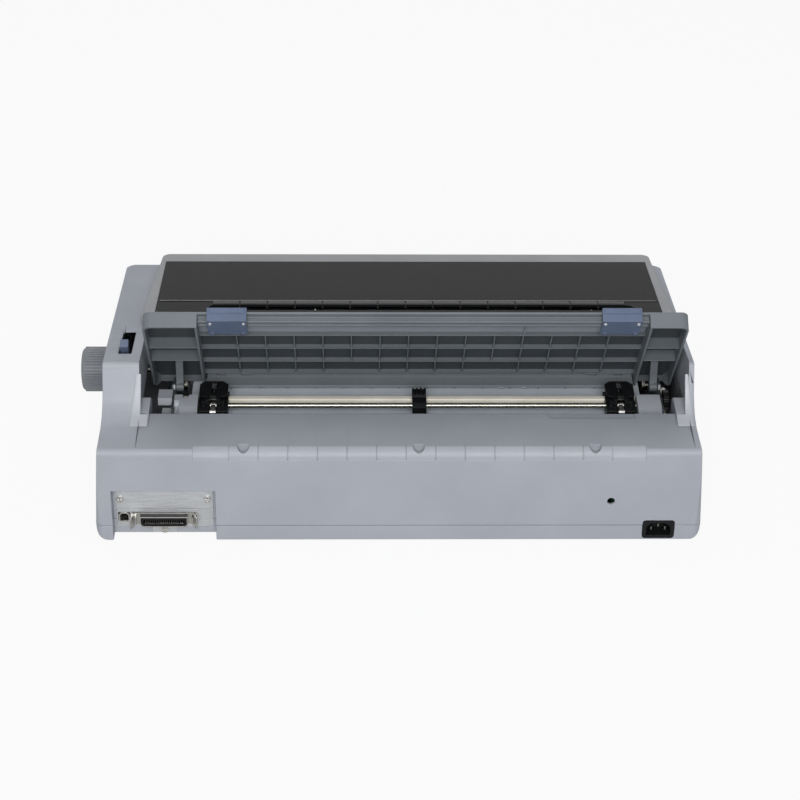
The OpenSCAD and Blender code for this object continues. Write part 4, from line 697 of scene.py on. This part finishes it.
def makeInletPins():
    low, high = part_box("ac_inlet")
    middleX = (low[0] + high[0]) / 2
    middleZ = (low[2] + high[2]) / 2
    tipY = high[1] - inletPins["tipIn"]
    pins = []
    for dx, dz in inletPins["places"]:
        bpy.ops.object.select_all(action="DESELECT")
        place = (middleX + dx, tipY - inletPins["deep"] / 2, middleZ + dz)
        bpy.ops.mesh.primitive_cube_add(size=1, location=place)
        pin = bpy.context.object
        pin.scale = (inletPins["wide"], inletPins["deep"], inletPins["tall"])
        settle(pin)
        mesh = bmesh.new()
        mesh.from_mesh(pin.data)
        tip = [face for face in mesh.faces if face.normal.y > 0.9]
        bmesh.ops.bevel(mesh, geom=[edge for face in tip for edge in face.edges], offset=inletPins["tip"], segments=3,
                        profile=0.5, affect="EDGES")
        mesh.to_mesh(pin.data)
        mesh.free()
        pins.append(bevelled(pin, inletPins["round"], 2, 50))
    return dress(joined(pins, "inletPins"), finish["ground_steel"], "printer")


# small screws of the blue edge guides
guideScrews = {"head": 0.0019, "high": 0.0011, "inset": 0.0032, "along": 0.118, "under": 0.0165, "round": 0.0002,
               "rim": (0.0006, 0.0003), "recess": (0.0005, -0.0006)}


def onGuide(x, along, height):
    tilt = math.radians(guidePlane["tilt"])
    return Vector((x, guidePlane["pivot"][0] + along * math.cos(tilt) - height * math.sin(tilt),
                   guidePlane["pivot"][1] + along * math.sin(tilt) + height * math.cos(tilt)))


def makeGuideScrews(nodeName, body, name):
    low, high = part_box(nodeName)
    heads = []
    for x in (low[0] + guideScrews["inset"], high[0] - guideScrews["inset"]):
        bpy.ops.object.select_all(action="DESELECT")
        bpy.ops.mesh.primitive_cylinder_add(vertices=28, radius=guideScrews["head"], depth=guideScrews["high"])
        head = bpy.context.object
        mesh = bmesh.new()
        mesh.from_mesh(head.data)
        top = next(face for face in mesh.faces if face.normal.z < -0.9)
        for thickness, depth in (guideScrews["rim"], guideScrews["recess"]):
            bmesh.ops.inset_region(mesh, faces=[top], thickness=thickness, depth=depth)
        mesh.to_mesh(head.data)
        mesh.free()
        tilt = Matrix.Rotation(math.radians(guidePlane["tilt"]), 4, "X")
        head.matrix_world = Matrix.Translation(onGuide(x, guideScrews["along"], guideScrews["under"])) @ tilt
        heads.append(bevelled(settle(head), guideScrews["round"], 2, 40))
    return dress(joined(heads, name), finish["plated_steel"], body)


# raised strip in front of the paper slot of the window
slotStrip = {"from": 0.1399, "to": 0.1497, "pitch": 0.0291, "wide": 0.0277, "high": 0.0005, "sunk": 0.0003,
             "slope": 7.4, "foot": (-0.165, 0.1304), "firstFromEnd": 0.0587, "count": 15, "round": 0.0002}
# painted highlight: a pale thin bar along the crease of the window, in front of the strip
slotHighlightLine = {"along": 0.139, "deep": 0.0013, "high": 0.0006, "up": 0.00015, "endGap": 0.002}


def onCover(x, along, height):
    slope = math.radians(slotStrip["slope"])
    return Vector((x, slotStrip["foot"][0] + along * math.cos(slope) - height * math.sin(slope),
                   slotStrip["foot"][1] + along * math.sin(slope) + height * math.cos(slope)))


def slab(x, along, height, size):
    # a plate that lies in the slope of the cover
    bpy.ops.object.select_all(action="DESELECT")
    bpy.ops.mesh.primitive_cube_add(size=1)
    plate = bpy.context.object
    lean = Matrix.Rotation(math.radians(slotStrip["slope"]), 4, "X")
    plate.matrix_world = Matrix.Translation(onCover(x, along, height)) @ lean @ Matrix.Diagonal((*size, 1))
    return bevelled(settle(plate), slotStrip["round"], 2, 40)


def makeSlotStrip():
    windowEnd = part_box("cover_window")[1][0]
    middle = (slotStrip["from"] + slotStrip["to"]) / 2
    size = (slotStrip["wide"], slotStrip["to"] - slotStrip["from"], slotStrip["high"])
    first = windowEnd - slotStrip["firstFromEnd"] - slotStrip["wide"] / 2
    plate = slab(first, middle, slotStrip["high"] / 2 - slotStrip["sunk"], size)
    shifts = [Vector((-slotStrip["pitch"] * i, 0, 0)) for i in range(1, slotStrip["count"])]
    plates = copies(plate, shifts, "slotStrip")
    return dress(plates, finish["slot_strip"], "cover")


def makeSlotHighlightLine():
    # the pale bar is painted as the highlight on the crease
    low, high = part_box("cover_window")
    size = (high[0] - low[0] - 2 * slotHighlightLine["endGap"], slotHighlightLine["deep"], slotHighlightLine["high"])
    line = slab((low[0] + high[0]) / 2, slotHighlightLine["along"], slotHighlightLine["up"], size)
    line.name = "slotHighlightLine"
    return dress(line, finish["slot_line"], "cover")


# lamps of the control panel
panelLamps = {"radius": 0.00135, "flat": 0.8, "pitch": 0.03, "count": 4, "panelRise": 45.5, "panelRun": 31,
              "fromKey": (0, 0.009, 0.0029)}


def makePanelLamps():
    low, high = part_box("button_a")
    turn = Matrix.Rotation(math.atan2(panelLamps["panelRise"], panelLamps["panelRun"]), 4, "X")
    keyMiddle = (Vector(low) + Vector(high)) / 2
    bpy.ops.object.select_all(action="DESELECT")
    bpy.ops.mesh.primitive_uv_sphere_add(segments=24, ring_count=12, radius=panelLamps["radius"])
    lens = bpy.context.object
    seat = keyMiddle + turn.to_3x3() @ Vector(panelLamps["fromKey"])
    lens.matrix_world = Matrix.Translation(seat) @ turn @ Matrix.Diagonal((1, 1, panelLamps["flat"], 1))
    settle(lens)
    shifts = [Vector((panelLamps["pitch"] * i, 0, 0)) for i in range(1, panelLamps["count"])]
    return dress(copies(lens, shifts, "panelLamps"), finish["lamp_lens"], "printer")


# floor, light and camera
viewpoint = {"place": (0.03285, 1.9596, 1.2662), "pitch": 32.0, "yaw": 1.52, "roll": 0.81, "lens": 96.7}
studio = {"floorSize": 14, "ambient": 0.25, "keyPlace": (0.05, 3.2, 1.85), "keySize": 1.8, "keyPower": 105,
          "topPlace": (0.2, -0.9, 2.5), "topSize": 2.0, "topPower": 15, "whiteShare": 0.92, "aim": (0, 0, 0.08),
          "floorTone": "#C8C8C8", "skyTone": "#EEF4FF"}


def makeCamera():
    bpy.ops.object.camera_add(location=viewpoint["place"])
    camera = bpy.context.object
    camera.name = "photoCamera"
    camera.data.sensor_width = 36
    camera.data.lens = viewpoint["lens"]
    turn = Matrix.Rotation(math.radians(180 - viewpoint["yaw"]), 4, "Z")
    tip = Matrix.Rotation(math.radians(90 - viewpoint["pitch"]), 4, "X")
    roll = Matrix.Rotation(math.radians(viewpoint["roll"]), 4, "Z")
    camera.matrix_world = Matrix.Translation(viewpoint["place"]) @ turn @ tip @ roll
    bpy.context.scene.camera = camera


def makeFloor():
    bpy.ops.object.select_all(action="DESELECT")
    bpy.ops.mesh.primitive_plane_add(size=studio["floorSize"], location=(0, 0, 0))
    floor = bpy.context.object
    floor.name = "studioFloor"
    mat, tree, skin = newFinish("whitePaperSweep")
    skin.inputs["Base Color"].default_value = hexColour(studio["floorTone"])
    skin.inputs["Roughness"].default_value = 0.9
    out = next(n for n in tree.nodes if n.type == "OUTPUT_MATERIAL")
    path = addNode(tree, "ShaderNodeLightPath")
    glow = addNode(tree, "ShaderNodeEmission", {"Strength": 1.0})
    share = addNode(tree, "ShaderNodeMath", {"operation": "MULTIPLY", 1: studio["whiteShare"]},
                    {0: path.outputs["Is Camera Ray"]})
    both = addNode(tree, "ShaderNodeMixShader", {},
                   {0: share.outputs[0], 1: skin.outputs["BSDF"], 2: glow.outputs["Emission"]})
    tree.links.new(both.outputs[0], out.inputs["Surface"])
    floor.data.materials.append(mat)


def makeWorld():
    world = bpy.data.worlds.new("studioWorld")
    bpy.context.scene.world = world
    world.use_nodes = True
    tree = world.node_tree
    tree.nodes.clear()
    path = addNode(tree, "ShaderNodeLightPath")
    seen = addNode(tree, "ShaderNodeMath", {"operation": "MAXIMUM"},
                   {0: path.outputs["Is Camera Ray"], 1: path.outputs["Is Glossy Ray"]})
    seenAll = addNode(tree, "ShaderNodeMath", {"operation": "MAXIMUM"},
                      {0: seen.outputs[0], 1: path.outputs["Is Transmission Ray"]})
    dim = addNode(tree, "ShaderNodeBackground", {"Strength": studio["ambient"]})
    white = addNode(tree, "ShaderNodeBackground", {"Color": (1, 1, 1, 1), "Strength": 1.0})
    dim.inputs["Color"].default_value = hexColour(studio["skyTone"])
    both = addNode(tree, "ShaderNodeMixShader", {}, {0: seenAll.outputs[0], 1: dim.outputs[0], 2: white.outputs[0]})
    addNode(tree, "ShaderNodeOutputWorld", {}, {"Surface": both.outputs[0]})


def addLamp(name, place, size, power):
    bpy.ops.object.light_add(type="AREA", location=place)
    lamp = bpy.context.object
    lamp.name = name
    lamp.data.shape = "SQUARE"
    lamp.data.size = size
    lamp.data.energy = power
    lamp.rotation_euler = (Vector(studio["aim"]) - Vector(place)).to_track_quat("-Z", "Y").to_euler()


makeCamera()
makeFloor()
makeWorld()
addLamp("keySoftbox", studio["keyPlace"], studio["keySize"], studio["keyPower"])
addLamp("topSoftbox", studio["topPlace"], studio["topSize"], studio["topPower"])
print("studio ready")

for nodeName, look in roundedMouldings.items():
    standIn(nodeName, look)
print("mouldings rounded:", len(roundedMouldings))
makeBailSleeves()
makeCheekPlate(cheekPlates["left"], "cheekPlateLeft")
makeCheekPlate(cheekPlates["right"], "cheekPlateRight")
makeSocketInsulator()
makeSocketContacts()
makeSquareSocketLining()
makeInletPins()
makeGuideScrews("edge_guide_left", "guide_edge_left", "guideScrewsLeft")
makeGuideScrews("edge_guide_right", "guide_edge_right", "guideScrewsRight")
makeSlotStrip()
makeSlotHighlightLine()
makePanelLamps()
print("pieces made")

bpy.context.scene.view_settings.view_transform = "Standard"
